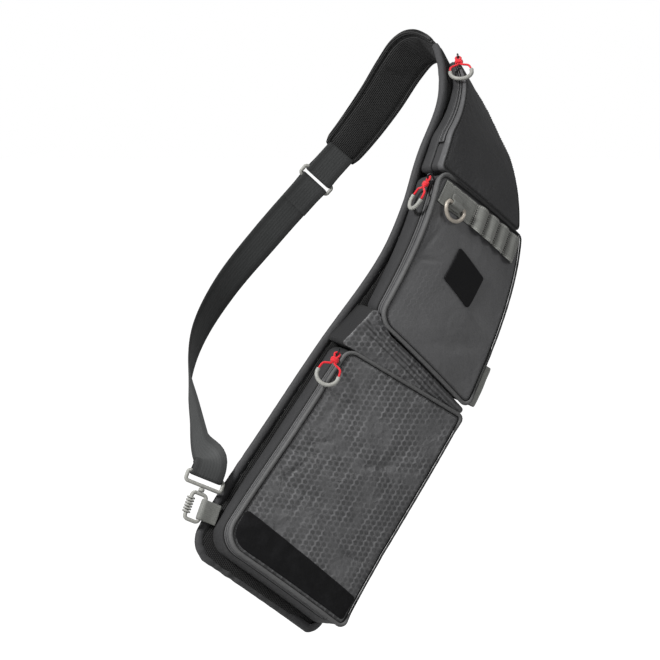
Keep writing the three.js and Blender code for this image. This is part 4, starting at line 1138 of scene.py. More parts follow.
def ribbon(at, out, across, wide, thick, cuts=STRAP_CUTS):
    """Sections of a flat strap with rounded edges: columns go round each section."""
    a, b = (side[:, None] / 2 for side in strap_section(cuts))
    return at[:, None] + across[:, None] * a * wide + out[:, None] * b * thick


def strip(name, ring, out, level, look, closed=True, marks=None):
    """A strip along part of an outline: its section's steps out and its level at each point."""
    ways = outs(ring, closed)
    u = ring[:, 0, None] + ways[:, 0, None] * out
    v = ring[:, 1, None] + ways[:, 1, None] * out
    return skin(name, worn(u, v, level), [look], wrap_rows=closed, marks=marks)


# Repeats by Geometry Nodes


def bead_tree():
    """Small rounded beads along lines: stitches, zip teeth and ribs."""
    tree = bpy.data.node_groups.new("Beads along lines", "GeometryNodeTree")
    face = tree.interface
    face.new_socket("Lines", in_out="INPUT", socket_type="NodeSocketGeometry")
    for label, value in (("Spacing", 0.003), ("Long", 0.0022), ("Wide", 0.0006), ("Tall", 0.0006)):
        face.new_socket(label, in_out="INPUT", socket_type="NodeSocketFloat").default_value = value
    face.new_socket("Finish", in_out="INPUT", socket_type="NodeSocketMaterial")
    face.new_socket("Beads", in_out="OUTPUT", socket_type="NodeSocketGeometry")
    given, made = tree.nodes.new("NodeGroupInput"), tree.nodes.new("NodeGroupOutput")
    curve = put(tree, "GeometryNodeMeshToCurve", {0: given.outputs["Lines"]})
    even_curve = put(tree, "GeometryNodeResampleCurve", {"Curve": curve.outputs[0]}, mode="LENGTH")
    tree.links.new(given.outputs["Spacing"], even_curve.inputs["Length"])
    ball = put(tree, "GeometryNodeMeshUVSphere", {"Segments": 6, "Rings": 4, "Radius": 0.5})
    size = put(tree, "ShaderNodeCombineXYZ")
    for i, label in enumerate(("Long", "Wide", "Tall")):
        tree.links.new(given.outputs[label], size.inputs[i])
    bead = put(tree, "GeometryNodeTransform", {"Geometry": ball.outputs[0]})
    tree.links.new(size.outputs[0], bead.inputs["Scale"])
    out = put(tree, "GeometryNodeInputNamedAttribute", {"Name": "out"}, data_type="FLOAT_VECTOR")
    along = put(tree, "GeometryNodeInputTangent")
    turned = put(tree, "FunctionNodeAlignRotationToVector", {"Vector": along.outputs[0]}, axis="X")
    lifted = put(
        tree,
        "FunctionNodeAlignRotationToVector",
        {"Rotation": turned.outputs[0], "Vector": out.outputs[0]},
        axis="Z",
        pivot_axis="X",
    )
    many = put(
        tree,
        "GeometryNodeInstanceOnPoints",
        {"Points": even_curve.outputs[0], "Instance": bead.outputs[0], "Rotation": lifted.outputs[0]},
    )
    real = put(tree, "GeometryNodeRealizeInstances", {0: many.outputs[0]})
    soft = put(tree, "GeometryNodeSetShadeSmooth", {0: real.outputs[0]})
    inputs = {"Geometry": soft.outputs[0], "Material": given.outputs["Finish"]}
    shown = put(tree, "GeometryNodeSetMaterial", inputs)
    tree.links.new(shown.outputs[0], made.inputs[0])
    return tree


def beads(name, lines, look, slot, spacing, long, wide, tall):
    """Beads along lines, each line a pair of places and outward ways.

    The spacing comes from a setting and is in metres, all else is in mm.
    """
    points, edges, ways = [], [], []
    for places, out in lines:
        start = len(points)
        points += (np.asarray(places) * MM).tolist()
        ways += np.broadcast_to(out, np.shape(places)).tolist()
        edges += [(start + i, start + i + 1) for i in range(len(places) - 1)]
    mesh = bpy.data.meshes.new(name + "_lines")
    mesh.from_pydata(points, edges, [])
    mesh.attributes.new("out", "FLOAT_VECTOR", "POINT").data.foreach_set("vector", np.ravel(ways))
    guide = bpy.data.objects.new(name + "_lines", mesh)
    bpy.context.scene.collection.objects.link(guide)
    modifier = guide.modifiers.new("Beads", "NODES")
    modifier.node_group = bpy.data.node_groups.get("Beads along lines") or bead_tree()
    values = {
        "Spacing": spacing,
        "Long": long * MM,
        "Wide": wide * MM,
        "Tall": tall * MM,
        "Finish": finish(look),
    }
    for item in modifier.node_group.interface.items_tree:
        if item.in_out == "INPUT" and item.name in values:
            modifier[item.identifier] = values[item.name]
    bpy.context.view_layer.update()
    real = guide.evaluated_get(bpy.context.evaluated_depsgraph_get())
    made = bpy.data.meshes.new_from_object(real)
    made.name = name
    bpy.data.objects.remove(guide)
    piece(name, made, slot)


# Pieces


# Where the zips stop: share of the bag's width, and at the shoulder share of the zip's rise
ZIP_STOP = 0.4
SHOULDER_ZIP_STOP = 0.34


def slit_ring(name, step):
    """An outline, and the first and last of its points that carry the zip."""
    ring = outline(OUTLINES[name], step)
    bottom = min(row[1] for row in OUTLINES[name]) * BAG_LENGTH
    if name == "shoulder":
        high = bottom + SHOULDER_ZIP_STOP * (ring[0, 1] - bottom)
        return ring, 2, np.argmax((ring[:, 1] < high) & (ring[:, 0] < 0))
    stop = np.argmax(ring[:, 0] > ZIP_STOP * BAG_WIDTH)
    turn = np.argmax(np.arange(len(ring)) * step > OUTLINES[name][0][2])
    return ring, turn, stop


# A pocket's wall from its foot to its front edge: inset in mm, share of the height counted
# from the wall's base or from the zip slit's foot or head, and how far it is drawn in there
WALL_ROWS = (
    (2.0, "base", 0.00, 0),
    (0.8, "base", 0.02, 0),
    (0.2, "base", 0.06, 0),
    (-0.3, "base", 0.16, 0),
    (-0.7, "base", 0.28, 0),
    (-0.8, "base", 0.40, 0),
    (-0.4, "base", 0.50, 0),
    (-0.1, "foot", -0.060, 0.1),
    (0, "foot", -0.050, -1.0),
    (0, "foot", -0.006, -0.5),
    (0, "foot", 0.020, 2.2),
    (0, "head", -0.020, 2.2),
    (0, "head", 0.006, -0.5),
    (0, "head", 0.050, -1.0),
    (-0.1, "base", 0.93, 0),
    (0.3, "base", 0.965, 0),
    (1.4, "base", 0.985, 0),
    (2.6, "base", 0.99, 0),
)

# The rows on the slit's two edges
SLIT_LOW = 9
SLIT_HIGH = 12


def wall_places(name, ring, slit):
    """Places of a pocket's wall rows."""
    ways = outs(ring)
    foot, head = SLITS[name]
    starts = {"base": 0, "foot": foot, "head": head}
    places = []
    for inset, start, share, drawn in WALL_ROWS:
        rise = starts[start] + share
        back = inset + drawn * slit
        u, v = ring[:, 0] - ways[:, 0] * back, ring[:, 1] - ways[:, 1] * back
        height = front_level(name, u, v) - FOOT
        waves = 0.7 * noise(np.arange(len(ring)) / 5.0 + 7 * rise, np.full(len(ring), 4 * rise), 21)
        soft = waves * np.sin(np.pi * np.clip(rise / foot, 0, 1))
        u, v = u + ways[:, 0] * soft, v + ways[:, 1] * soft
        places.append(worn(u, v, FOOT + rise * height))
    return places


def pocket(name, step, front, slot):
    """A soft pocket: walls with a zip slit and a crumpled front, with shade painted in its slit and grooves.
    """
    node = name + "_pocket"
    looks = [front, "gusset_cloth", "painted_slit_shade", "side_cloth"]
    ring, first, stop = slit_ring(name, step)
    count = np.arange(len(ring))
    slit = ease((count - first) / 3) * ease((stop - count) / 3)
    walls = wall_places(name, ring, slit)
    middle = ring.mean(0)
    ways = outs(ring)
    inner = ring - ways * 3.2
    rings = max(14, round(0.5 * BAG_WIDTH / step))
    fronts, maps = [], []
    for share in np.r_[0, np.linspace(0.012, 0.95, rings - 1)]:
        flat = inner + (middle - inner) * share
        level = cloth_level(name, flat[:, 0], flat[:, 1])
        fronts.append(worn(flat[:, 0], flat[:, 1], level - (0.5 if share == 0 else 0)))
        maps.append(flat)
    places = np.array(walls + fronts)
    gone = distances(closed_up(ring))
    rise = [FOOT + 50 * i / len(walls) for i in range(len(walls))]
    wall_maps = [np.stack([gone, np.full(len(gone), r)], -1) for r in rise]
    front_maps = [closed_up(flat) for flat in maps]
    uvs = np.array(wall_maps + front_maps) * MM
    # Rows between the slit's edges take the painted slit shade where the slit is open
    looks_of_rows = [1] * SLIT_LOW + [2] * (SLIT_HIGH - SLIT_LOW)
    looks_of_rows += [3] * (len(walls) - SLIT_HIGH) + [0] * rings
    which = np.repeat(np.array(looks_of_rows)[: len(places) - 1, None], len(ring), axis=1)
    which[SLIT_LOW:SLIT_HIGH][:, slit < 0.5] = 1
    edge = np.zeros((len(places), len(ring)))
    edge[SLIT_LOW - 2] = edge[SLIT_HIGH + 2] = 0.7 * slit
    edge[len(walls) - 4] = 0.5
    # Painted shade: the seam mark darkens the zip slit, the groove where the wall meets the front, and the
    # wall's foot
    seam = np.zeros((len(places), len(ring)))
    seam[SLIT_LOW : SLIT_HIGH + 1] = slit
    seam[len(walls) - 2 : len(walls) + 1] = 1
    seam[:2] = 0.8
    mesh = skin(node, places, looks, uvs=uvs, which=which, marks={"edge": edge, "seam": seam})
    piece(node + "_cloth", mesh, slot, node)


def make_pockets():
    """The three pockets and the cloth between the lower two."""
    pocket("lower", 2.6, "ripstop", "ripstop")
    pocket("middle", 2.6, "plain_cloth", "grey_cloth")
    pocket("shoulder", 2.4, "black_cloth", "black_cloth")
    bridge()


BRIDGE_SINK = 4


def bridge():
    """The strip of honeycomb cloth between the lower and middle pockets, with shade painted on its sunken
    walls and beside its tucks.
    """
    ring = outline(OUTLINES["bridge"], 2.5)
    middle = ring.mean(0)
    ways = outs(ring)
    rows, maps = [], []
    for inset, share in ((0.2, 0.0), (0, 0.2), (0, 0.5), (0, 0.8), (0.1, 0.93), (0.5, 0.98)):
        flat = ring - ways * inset
        top = depth_at(flat[:, 1]) - BRIDGE_SINK
        rows.append(worn(flat[:, 0], flat[:, 1], FOOT + share * (top - FOOT)))
        maps.append(flat)
    rings = 30
    tucks = []
    for share in np.linspace(0, 0.96, rings):
        flat = ring - ways * 1.2
        flat = flat + (middle - flat) * share
        inside = edge_distance("bridge", flat[:, 0], flat[:, 1])
        crumple = 0.6 * noise(flat[:, 0] / 9, flat[:, 1] / 9, 31) * ease(inside / 4)
        lift, dark = bridge_tucks(flat)
        level = depth_at(flat[:, 1]) - BRIDGE_SINK + crumple + lift * ease(inside / 3)
        rows.append(worn(flat[:, 0], flat[:, 1], level))
        maps.append(flat)
        tucks.append(dark)
    uvs = np.array([closed_up(flat) for flat in maps]) * MM
    which = [1] * 5 + [0] * rings
    # Painted shade through the seam mark: on the sunken walls and just past each tuck
    seam = np.vstack([np.full((6, len(ring)), 0.6), tucks])
    looks = ["ripstop", "gusset_cloth"]
    mesh = skin("bridge_panel", np.array(rows), looks, uvs=uvs, which=which, marks={"seam": seam})
    piece("bridge_cloth", mesh, "ripstop", "bridge_panel")


# Tucks sewn along the bridge's upper edge: distance from it, half width, height
TUCKS = ((4.5, 1.6, 1.8), (9.5, 1.6, 1.6), (14.5, 1.8, 1.2))


def bridge_tucks(flat):
    """The height of the bridge's tucks at flat places, and the shade painted just past each."""
    start, end = (np.array(OUTLINES["bridge"][k][:2]) * (BAG_WIDTH, BAG_LENGTH) for k in (4, 3))
    run = unit(end - start)
    off = (flat - start) @ np.array([run[1], -run[0]])
    lift, dark = np.zeros(len(flat)), np.zeros(len(flat))
    for at, wide, high in TUCKS:
        lift += high * np.exp(-(((off - at) / wide) ** 2))
        # A dark band of painted shade just past each tuck
        dark += 0.9 * np.exp(-(((off - at - 1.5 * wide) / 0.9) ** 2))
    return lift, np.clip(dark, 0, 1)


# A closed zip from its lower edge to its upper: share of the slit, how far it stands out, and how much shade
# is painted on it where it lies in a groove
ZIP_ROWS = (
    (0.12, -1.8, 1.0),
    (0.14, -0.6, 0.9),
    (0.18, 0.3, 0.1),
    (0.25, 0.7, 0.0),
    (0.32, 0.4, 0.1),
    (0.37, -0.5, 0.9),
    (0.42, -0.4, 0.6),
    (0.47, -0.1, 0.5),
    (0.50, -0.9, 1.0),
    (0.53, -0.1, 0.5),
    (0.58, -0.4, 0.6),
    (0.63, -0.5, 0.9),
    (0.68, 0.4, 0.1),
    (0.75, 0.7, 0.0),
    (0.82, 0.3, 0.1),
    (0.86, -0.6, 0.9),
    (0.88, -1.8, 1.0),
    (0.88, -2.2, 1.0),
    (0.12, -2.2, 1.0),
)


def zip_level(name, ring, share):
    """The level of a share of the zip's height at outline places."""
    foot, head = SLITS[name]
    height = front_level(name, ring[:, 0], ring[:, 1]) - FOOT
    return FOOT + height * (foot + (head - foot) * share)


def zip_tapes():
    """The zips' tapes, folded to a lip on both sides of the coil."""
    lines = []
    for name in SLITS:
        ring, first, stop = slit_ring(name, 2.2)
        run = ring[first + 1 : stop - 1]
        shares, stands, dark = np.array(ZIP_ROWS).T
        level = zip_level(name, run, 0)[:, None] * (1 - shares) + zip_level(name, run, 1)[:, None] * shares
        # The third column goes in as painted shade, through the seam mark
        mesh = strip(name + "_zip", run, stands, level, "zip_tape", False, {"seam": dark[None]})
        piece(name + "_zip_tape", mesh, "zip", name + "_zip")
        ways = outs(run, False)
        flat = run - ways * 0.2
        centre = worn(flat[:, 0], flat[:, 1], zip_level(name, run, 0.5))
        outer = worn(flat[:, 0] + ways[:, 0], flat[:, 1] + ways[:, 1], zip_level(name, run, 0.5))
        lines.append((even(centre, 1.0, False), unit(outer - centre).mean(0)))
    beads("zip_coils", lines, "zip_teeth", "zip", bpy.context.scene.sling_sizes.tooth_spacing, 0.8, 1.5, 1.0)


def corner_index(name, ring, number):
    """The outline point nearest to one of its corners."""
    corner = np.array(OUTLINES[name][number][:2]) * (BAG_WIDTH, BAG_LENGTH)
    return np.argmin(np.linalg.norm(ring - corner, axis=1))


def piping():
    """The covered cord round the lower two fronts, thin where the edge is a plain fold and painted nearly
    black there as shade.
    """
    angle = np.linspace(0, 2 * np.pi, 14, endpoint=False)
    for name in ("lower", "middle"):
        ring = outline(OUTLINES[name], 2.4)
        count = np.arange(len(ring))
        stop = corner_index(name, ring, 3) if name == "lower" else len(ring)
        thin = ease((count - corner_index(name, ring, 2)) / 8) * ease((stop - count) / 8)
        wobble = 0.14 * noise(count / 3.0, np.zeros(len(ring)), 41)
        radius = (PIPE_RADIUS * (1 - 0.5 * thin) + wobble)[:, None]
        level = front_level(name, ring[:, 0], ring[:, 1])[:, None] + 0.1 + radius * np.sin(angle)
        # Painted shade: the seam mark darkens the thin piping along the plain fold nearly to black
        marks = {"seam": 0.95 * np.broadcast_to(thin[:, None], level.shape)}
        mesh = strip(name + "_piping", ring, radius * np.cos(angle), level, "piping_cloth", marks=marks)
        piece(name + "_piping_cloth", mesh, "binding", name + "_piping")


# How far a patch lies off the cloth under it, and how thick it is
PATCH_LIFT = 0.5
PATCH_THICK = 1.4


def patch(name, front, look, step, spreads, edge):
    """A flat piece sewn on a front, following its cloth."""
    ring = outline(OUTLINES[name], step)
    ways = outs(ring)
    middle = ring.mean(0)
    rows, maps = [], []
    layers = [(edge, s, 0) for s in spreads[::-1]] + [(edge, 0, 0), (0, 0, 0.3), (0, 0, 0.75), (edge, 0, 1)]
    layers += [(edge, s, 1) for s in spreads]
    for inset, share, lift in layers:
        flat = ring - ways * inset
        flat = flat + (middle - flat) * share
        level = cloth_level(front, flat[:, 0], flat[:, 1]) + PATCH_LIFT + lift * PATCH_THICK
        rows.append(worn(flat[:, 0], flat[:, 1], level))
        maps.append(flat)
    uvs = np.array([closed_up(flat) for flat in maps]) * MM
    return skin(name, np.array(rows), [look], uvs=uvs)


def lower_band():
    """The black band across the lower pocket's foot."""
    mesh = patch("band", "lower", "brushed_cloth", 2.6, np.linspace(0.06, 0.97, 16), 0.5)
    piece("lower_band_cloth", mesh, "black_cloth", "lower_band")


def label():
    """The bare black patch on the middle pocket."""
    mesh = patch("label", "middle", "label_leather", 1.5, np.linspace(0.04, 0.97, 10), 0.35)
    piece("label_cloth", mesh, "label", "label_patch")


# The webbing band: its ends' places on the bag and its thickness, then its loops: where they
# start and end across the bag, how many, how far they rise and how much they sag
BAND_ENDS = ((-66.0, 487.0), (58.5, 455.5))
BAND_THICK = 1.5
LOOP_START = -15
LOOP_END = 57
LOOP_COUNT = 4
LOOP_RISE = 4.2
LOOP_SAG = 0.35


def band_rise(u):
    """How far the webbing band's loops stand off the pocket."""
    share = (u - LOOP_START) / (LOOP_END - LOOP_START)
    puff = 1.3 * LOOP_RISE * np.abs(np.sin(np.pi * np.clip(share, 0, 1) * LOOP_COUNT)) ** 0.75
    return np.where((share > 0) & (share < 1), puff, 0)


def band_place(share, side, lift):
    """A place on the webbing band: share along it, side from -1 to 1 across it."""
    left, right = (np.array(end) for end in BAND_ENDS)
    run = unit(right - left)
    rise = band_rise(left[0] + (right[0] - left[0]) * np.asarray(share))
    sag = LOOP_SAG * rise * (1 - np.asarray(side)) / 2
    flat = left + (right - left) * np.asarray(share)[..., None]
    flat = flat + np.array([-run[1], run[0]]) * (np.asarray(side) * WEBBING_WIDTH / 2 - sag)[..., None]
    u, v = flat[..., 0], flat[..., 1]
    base = cloth_level("middle", u, v)
    return worn(u, v, base + 0.5 + rise * (1 - 0.2 * np.asarray(side)) + lift)


def webbing_band():
    """The webbing across the middle pocket, gathered into loops on its right half, with shade painted where
    each loop is sewn down.
    """
    cuts, rows = 13, 260
    share = np.linspace(0, 1, rows)[:, None]
    half = np.r_[-1, -0.97, np.linspace(-0.9, 0.9, cuts - 4), 0.97, 1]
    side = np.r_[half, half[::-1]][None]
    thick = np.r_[0.4, 0.1, np.zeros(cuts - 4), 0.1, 0.4]
    lift = np.r_[thick, (BAND_THICK - thick)[::-1]][None] * np.ones_like(share)
    share, side, lift = np.broadcast_arrays(share, side, lift)
    places = band_place(share, side, lift)
    gone = np.linspace(0, 150, rows)
    across = np.r_[half, half[::-1], half[0]] * WEBBING_WIDTH / 2
    uvs = np.stack(np.meshgrid(across, gone), -1) * MM
    # Painted shade in the creases where each loop is sewn down, carried by the seam mark
    u = BAND_ENDS[0][0] + (BAND_ENDS[1][0] - BAND_ENDS[0][0]) * share
    turn = (u - LOOP_START) / (LOOP_END - LOOP_START) * LOOP_COUNT
    near = np.abs(turn - np.round(turn)) * (LOOP_END - LOOP_START) / LOOP_COUNT
    dark = np.exp(-((near / 1.8) ** 2)) * ((turn > -0.2) & (turn < LOOP_COUNT + 0.2))
    marks = {"seam": dark, "edge": (np.abs(side) > 0.92).astype(float)}
    mesh = skin("webbing_band", places, ["webbing"], uvs=uvs, marks=marks)
    piece("webbing_band_cloth", mesh, "webbing", "webbing_band")


def ring_frame():
    """The D-ring's stiff frame, its origin at the middle of the bar."""
    lift = 0.6 + BAND_THICK + GAP + RING_WIRE + 0.5
    return stiff_frame(*D_RING_PLACE, lambda u, v: front_level("middle", u, v) + lift, D_RING_TURN)


# The sleeve's section round the D-ring's bar: up from it and out
SLEEVE_PATH = (
    (11, -1.75),
    (5, -1.6),
    (3.2, 0.6),
    (2.0, 2.5),
    (0, 3.3),
    (-2.0, 2.5),
    (-3.2, 0.6),
    (-4.6, -1.6),
    (-6.5, -1.75),
)


def d_ring():
    """The D-ring and the webbing sleeve round its bar."""
    stiff = ring_frame()
    half = D_RING_BAR / 2
    bar = [(x, 0) for x in np.linspace(half - 2, -half + 2, 12)]
    turn = [(-half * math.cos(a), -D_RING_LEG - half * math.sin(a)) for a in np.linspace(0, np.pi, 34)]
    path = np.array(bar + turn)
    mesh = tube("d_ring", framed(stiff, path[:, 0], path[:, 1], 0), RING_WIRE, "ring_enamel", 16, True)
    piece("d_ring_wire", mesh, "ring_metal", "d_ring", body="ring")
    line = catmull(SLEEVE_PATH, np.linspace(0, 1, 60))
    run = unit(np.gradient(line, axis=0))
    at = framed(stiff, 0, line[:, 0], line[:, 1])
    out = run[:, :1] * stiff[3] * -1 + run[:, 1:] * stiff[2]
    across = np.broadcast_to(stiff[1], at.shape)
    mesh = skin("d_ring_sleeve", ribbon(at, out, across, SLEEVE_WIDTH, 1.0, 9), ["webbing"])
    piece("d_ring_sleeve_cloth", mesh, "webbing", "d_ring_sleeve")


# The side loop and the strap end tied through it: their middle along the bag and the loop's
# width, then the loop as steps out of the pocket and levels, and the tie as steps out and along
SIDE_LOOP_V = 319
SIDE_LOOP_WIDE = 44
SIDE_PATH = ((0.4, 47), (10, 47), (17, 44), (20, 38), (20, 28), (17, 22), (10, 19), (0.4, 19))
TIE_PATH = ((1.2, 53), (2.4, 47), (7.5, 41), (9.5, 33), (9.5, 23), (9, 7))


def right_edge(v):
    """The right edge of the middle pocket at distances along the bag."""
    foot, head = OUTLINES["middle"][2], OUTLINES["middle"][3]
    share = (v / BAG_LENGTH - foot[1]) / (head[1] - foot[1])
    return (foot[0] + (head[0] - foot[0]) * share) * BAG_WIDTH


def side_loop():
    """The wide loop on the right side and the strap end tied through it."""
    line = catmull(SIDE_PATH, np.linspace(0, 1, 60))
    run = unit(np.gradient(line, axis=0))
    across, body = strap_section(15)
    v = SIDE_LOOP_V + across[None] * SIDE_LOOP_WIDE / 2
    off = 1.1 * body + 0.5 * noise(v / 14, line[:, 1:] / 9, 51)
    reach = line[:, :1] - run[:, 1:] * off
    level = line[:, 1:] + run[:, :1] * off
    mesh = skin("side_loop", worn(right_edge(v) + reach, v, level), ["webbing"])
    piece("side_loop_cloth", mesh, "webbing", "side_loop")
    line = catmull(TIE_PATH, np.linspace(0, 1, 40))
    v = SIDE_LOOP_V + line[:, 1:]
    side = np.r_[np.linspace(-1, 1, 9), np.linspace(1, -1, 9)][None]
    off = np.r_[np.full(9, -0.8), np.full(9, 0.8)][None]
    mesh = skin("side_tie", worn(right_edge(v) + line[:, :1] + off, v, 33 + side * 10), ["strap_webbing"])
    piece("side_tie_cloth", mesh, "strap_webbing", "side_tie")


# A folded strap: how far its sewn layers lie from its middle line, how far they are spread
# beside a bar, and how long its tail is
LAYER = 1.2
FOLD_REACH = 16
TAIL = 36


def layer_lift(near):
    """How far a folded strap's layers stand apart at a distance from the bar it wraps."""
    reach = SLOT_WIRE + 0.4 + STRAP_THICK / 2
    return reach + (LAYER - reach) * ease(near / FOLD_REACH)


def fold_line(distance, way):
    """Places and ways of a strap's turn round a bar."""
    at, run, out, across = route_frame(np.array(float(distance)))
    angle = np.linspace(0, np.pi, 15)[1:-1, None]
    ways = out * -np.cos(angle) - run * way * np.sin(angle)
    return at + ways * layer_lift(0), ways, np.broadcast_to(across, ways.shape)


def layer_line(start, end, side, bars):
    """Places and ways of one layer of a strap."""
    count = max(6, int(abs(end - start) / 4))
    stops = np.linspace(start, end, count)
    at, _, out, across = route_frame(stops)
    near = np.min([np.abs(stops - bar) for bar in bars], axis=0)
    return at + out * side * layer_lift(near)[:, None], out * side, across


def strap(name, parts):
    """A strap made of layers and turns, one after the other."""
    at, out, across = (np.vstack([part[k] for part in parts]) for k in range(3))
    gone = distances(at)
    places = ribbon(at, out, across, STRAP_WIDTH, STRAP_THICK)
    cuts = places.shape[1]
    wide = np.r_[np.linspace(0, STRAP_WIDTH, cuts // 2), np.linspace(STRAP_WIDTH, 0, cuts // 2), 0]
    uvs = np.stack(np.meshgrid(wide, np.r_[gone, gone[-1]]), -1) * MM
    middle = 1 - np.abs(strap_section(STRAP_CUTS)[0])
    mesh = skin(name, places, ["strap_webbing"], uvs=uvs, marks={"middle": middle[None]})
    piece(name + "_cloth", mesh, "strap_webbing", name)


def straps():
    """The loop strap and the pad's tab, folded round their rings."""
    start = JOINING_RING + RING_TALL
    bars = [start, ROUTE_LENGTH]
    turn = [part[::-1] for part in fold_line(ROUTE_LENGTH, -1)]
    strap(
        "loop_strap",
        [
            layer_line(start + TAIL, start, -1, bars),
            fold_line(start, 1),
            layer_line(start, ROUTE_LENGTH, 1, bars),
            turn,
            layer_line(ROUTE_LENGTH, ROUTE_LENGTH - TAIL, -1, bars),
        ],
    )
    turn = [part[::-1] for part in fold_line(JOINING_RING, -1)]
    strap(
        "pad_tab",
        [
            layer_line(TAB_START - SEWN_IN, JOINING_RING, 1, [JOINING_RING]),
            turn,
            layer_line(JOINING_RING, TAB_START - SEWN_IN, -1, [JOINING_RING]),
        ],
    )


def ring_path(wide, tall, corner):
    """A rounded rectangle, as places across and up."""
    path = []
    for i, (a, b) in enumerate(((1, 1), (-1, 1), (-1, -1), (1, -1))):
        for k in range(9):
            angle = math.pi / 2 * (i + k / 8)
            x = a * (wide / 2 - corner) + corner * math.cos(angle)
            path.append((x, b * (tall / 2 - corner) + corner * math.sin(angle)))
    return np.array(path)


def wire_ring(name, path):
    """A ring of wire for the CAD node of the same name."""
    piece(name + "_wire", tube(name, path, SLOT_WIRE, "hoop_rubber", 14, True), "hoop", name)


# The hook's neck: steps down from its top, and shares of its radius
NECK_DROPS = (0, 0.5, 1.2, 2, 2.8, HOOK_NECK - 0.5, HOOK_NECK)
NECK_SHARES = (0.75, 0.95, 1, 0.8, 1, 0.95, 0.75)


def fittings():
    """The joining ring, and the hook with its ring, neck, body and grip."""
    slot = ring_path(RING_WIDE, RING_TALL, RING_CORNER)
    at, run, _, across = route_frame(np.array(JOINING_RING + RING_TALL / 2))
    wire_ring("joining_ring", at + slot[:, :1] * across + slot[:, 1:] * run)
    wire_ring("hook_ring", framed(HOOK, slot[:, 0], slot[:, 1] + RING_TALL / 2, 0))
    neck = framed(HOOK, 0, HOOK_TOP - np.array(NECK_DROPS), 0)
    mesh = tube("hook_neck", neck, HOOK_NECK_RADIUS * np.array(NECK_SHARES), "hoop_rubber", 20)
    piece("hook_neck_post", mesh, "hoop", "hook_neck")
    body = ring_path(HOOK_WIDE, HOOK_TALL, HOOK_CORNER)
    wire_ring("hook_body", even(framed(HOOK, body[:, 0], body[:, 1] + HOOK_MIDDLE, 0), 1.4, True))
    ring = ring_path(7.4, 6.6, 3)
    for i, up in enumerate(np.linspace(-8, 8, 6)):
        path = framed(HOOK, -HOOK_WIDE / 2 + ring[:, 0], HOOK_MIDDLE + up, ring[:, 1])
        piece(f"hook_grip_{i + 1}", tube("hook_grip", path, 1.1, "hoop_rubber", 8, True), "hoop")


def hook_tab():
    """The webbing tab sewn to the bag's edge and folded round the hook."""
    rows = [(19.9, 1.0), (12.0, 1.2), (5.0, 2.6), (0, 3.5), (-2.4, 2.5), (-3.5, 0)]
    rows += [(across, -lift) for across, lift in rows[-2::-1]]
    line = catmull(rows, np.linspace(0, 1, 70))
    run = unit(np.gradient(line, axis=0))
    at = framed(HOOK, HOOK_WIDE / 2 + line[:, 0], HOOK_MIDDLE, line[:, 1])
    out = run[:, :1] * HOOK[3] - run[:, 1:] * HOOK[1]
    across = np.broadcast_to(HOOK[2], at.shape)
    mesh = skin("hook_tab", ribbon(at, out, across, TAB_WIDTH, 1.2, 11), ["webbing"])
    piece("hook_tab_cloth", mesh, "webbing", "hook_tab")


def corner_place(name, row):
    """A place by the upper left corner of a pocket."""
    across, along = OUTLINES[name][0][:2]
    return worn(across * BAG_WIDTH - row[0], along * BAG_LENGTH + row[1], row[2])


def pull_frame(name):
    """The frame a zip pull hangs in: its eye, then along, side and face."""
    eye, _, along, side = PULLS[name]
    turn = math.radians(VIEW_TURN)
    right = np.array([math.cos(turn), math.sin(turn), 0])
    toward = np.array([math.sin(turn), -math.cos(turn), 0])

    def turned(way):
        return right * way[0] + np.array([0, 0, way[1]]) + toward * way[2]

    along = unit(turned(along))
    side = turned(side)
    side = unit(side - along * (side @ along))
    return corner_place(name, eye), along, side, np.cross(side, along)


def cord_path(stiff):
    """The cord from the hoop through the slider's eye and back."""
    ends = HOOP_AT - GAP - 0.2
    rows = [
        (ends, -HOOP_HALF),
        (ends - 8, -HOOP_HALF + 2.2),
        (KNOT_AT + 4, -1.6),
        (KNOT_AT - 3, -1.5),
        (3, -2.9),
        (0, 0),
    ]
    rows += [(a, -b) for a, b in rows[-2::-1]]
    line = np.array(rows)
    return even(catmull(framed(stiff, line[:, 0], line[:, 1], 0), np.linspace(0, 1, 400)), 1.1, False)


def pull(name):
    """One zip pull: red cord with its knot, hoop, and the slider's link."""
    stiff = pull_frame(name)
    path = cord_path(stiff)
    cord = piece(
        name + "_pull_cord_braid",
        tube(name + "_pull_cord", path, CORD_RADIUS, "cord_cloth", 10),
        "red_cord",
        name + "_pull_cord",
    )
    knot = piece(name + "_pull_knot_braid", knot_mesh(name, stiff), "red_cord", name + "_pull_knot")
    angle = np.linspace(0, np.pi, 30)
    arc = np.stack([HOOP_AT + 3 + (HOOP_DROP - 3) * np.sin(angle), -HOOP_HALF * np.cos(angle)], -1)
    arc = np.vstack([[HOOP_AT, -HOOP_HALF], arc, [HOOP_AT, HOOP_HALF]])
    line = even(framed(stiff, arc[:, 0], arc[:, 1], 0), 1.2, False)
    swell = 1 + 0.06 * (np.abs(np.linspace(-1, 1, len(line))) > 0.86)
    hoop = piece(
        name + "_pull_hoop_rubber",
        tube(name + "_pull_hoop", line, HOOP_RADIUS * swell, "hoop_rubber", 12),
        "hoop",
        name + "_pull_hoop",
    )
    slider(name, stiff)


# The knot: turns of cord, their length together, half width and half depth, and the cord
KNOT_TURNS = 3
KNOT_LONG = 5.2
KNOT_WIDE = 3.9
KNOT_DEEP = 2.4
KNOT_CORD = 1.15


def knot_mesh(name, stiff):
    """The wrapped knot: turns of cord round both legs."""
    t = np.linspace(0, 1, 70)
    angle = 2 * np.pi * KNOT_TURNS * t
    swell = 1 - 0.12 * np.abs(2 * t - 1)
    a = KNOT_AT + KNOT_LONG * (t - 0.5)
    path = framed(stiff, a, KNOT_WIDE * swell * np.cos(angle), KNOT_DEEP * swell * np.sin(angle))
    return tube(name + "_pull_knot", path, KNOT_CORD, "cord_cloth", 8)


# The slider's link: half its width and its wire's radius
LINK_HALF = 3
LINK_WIRE = 1.0


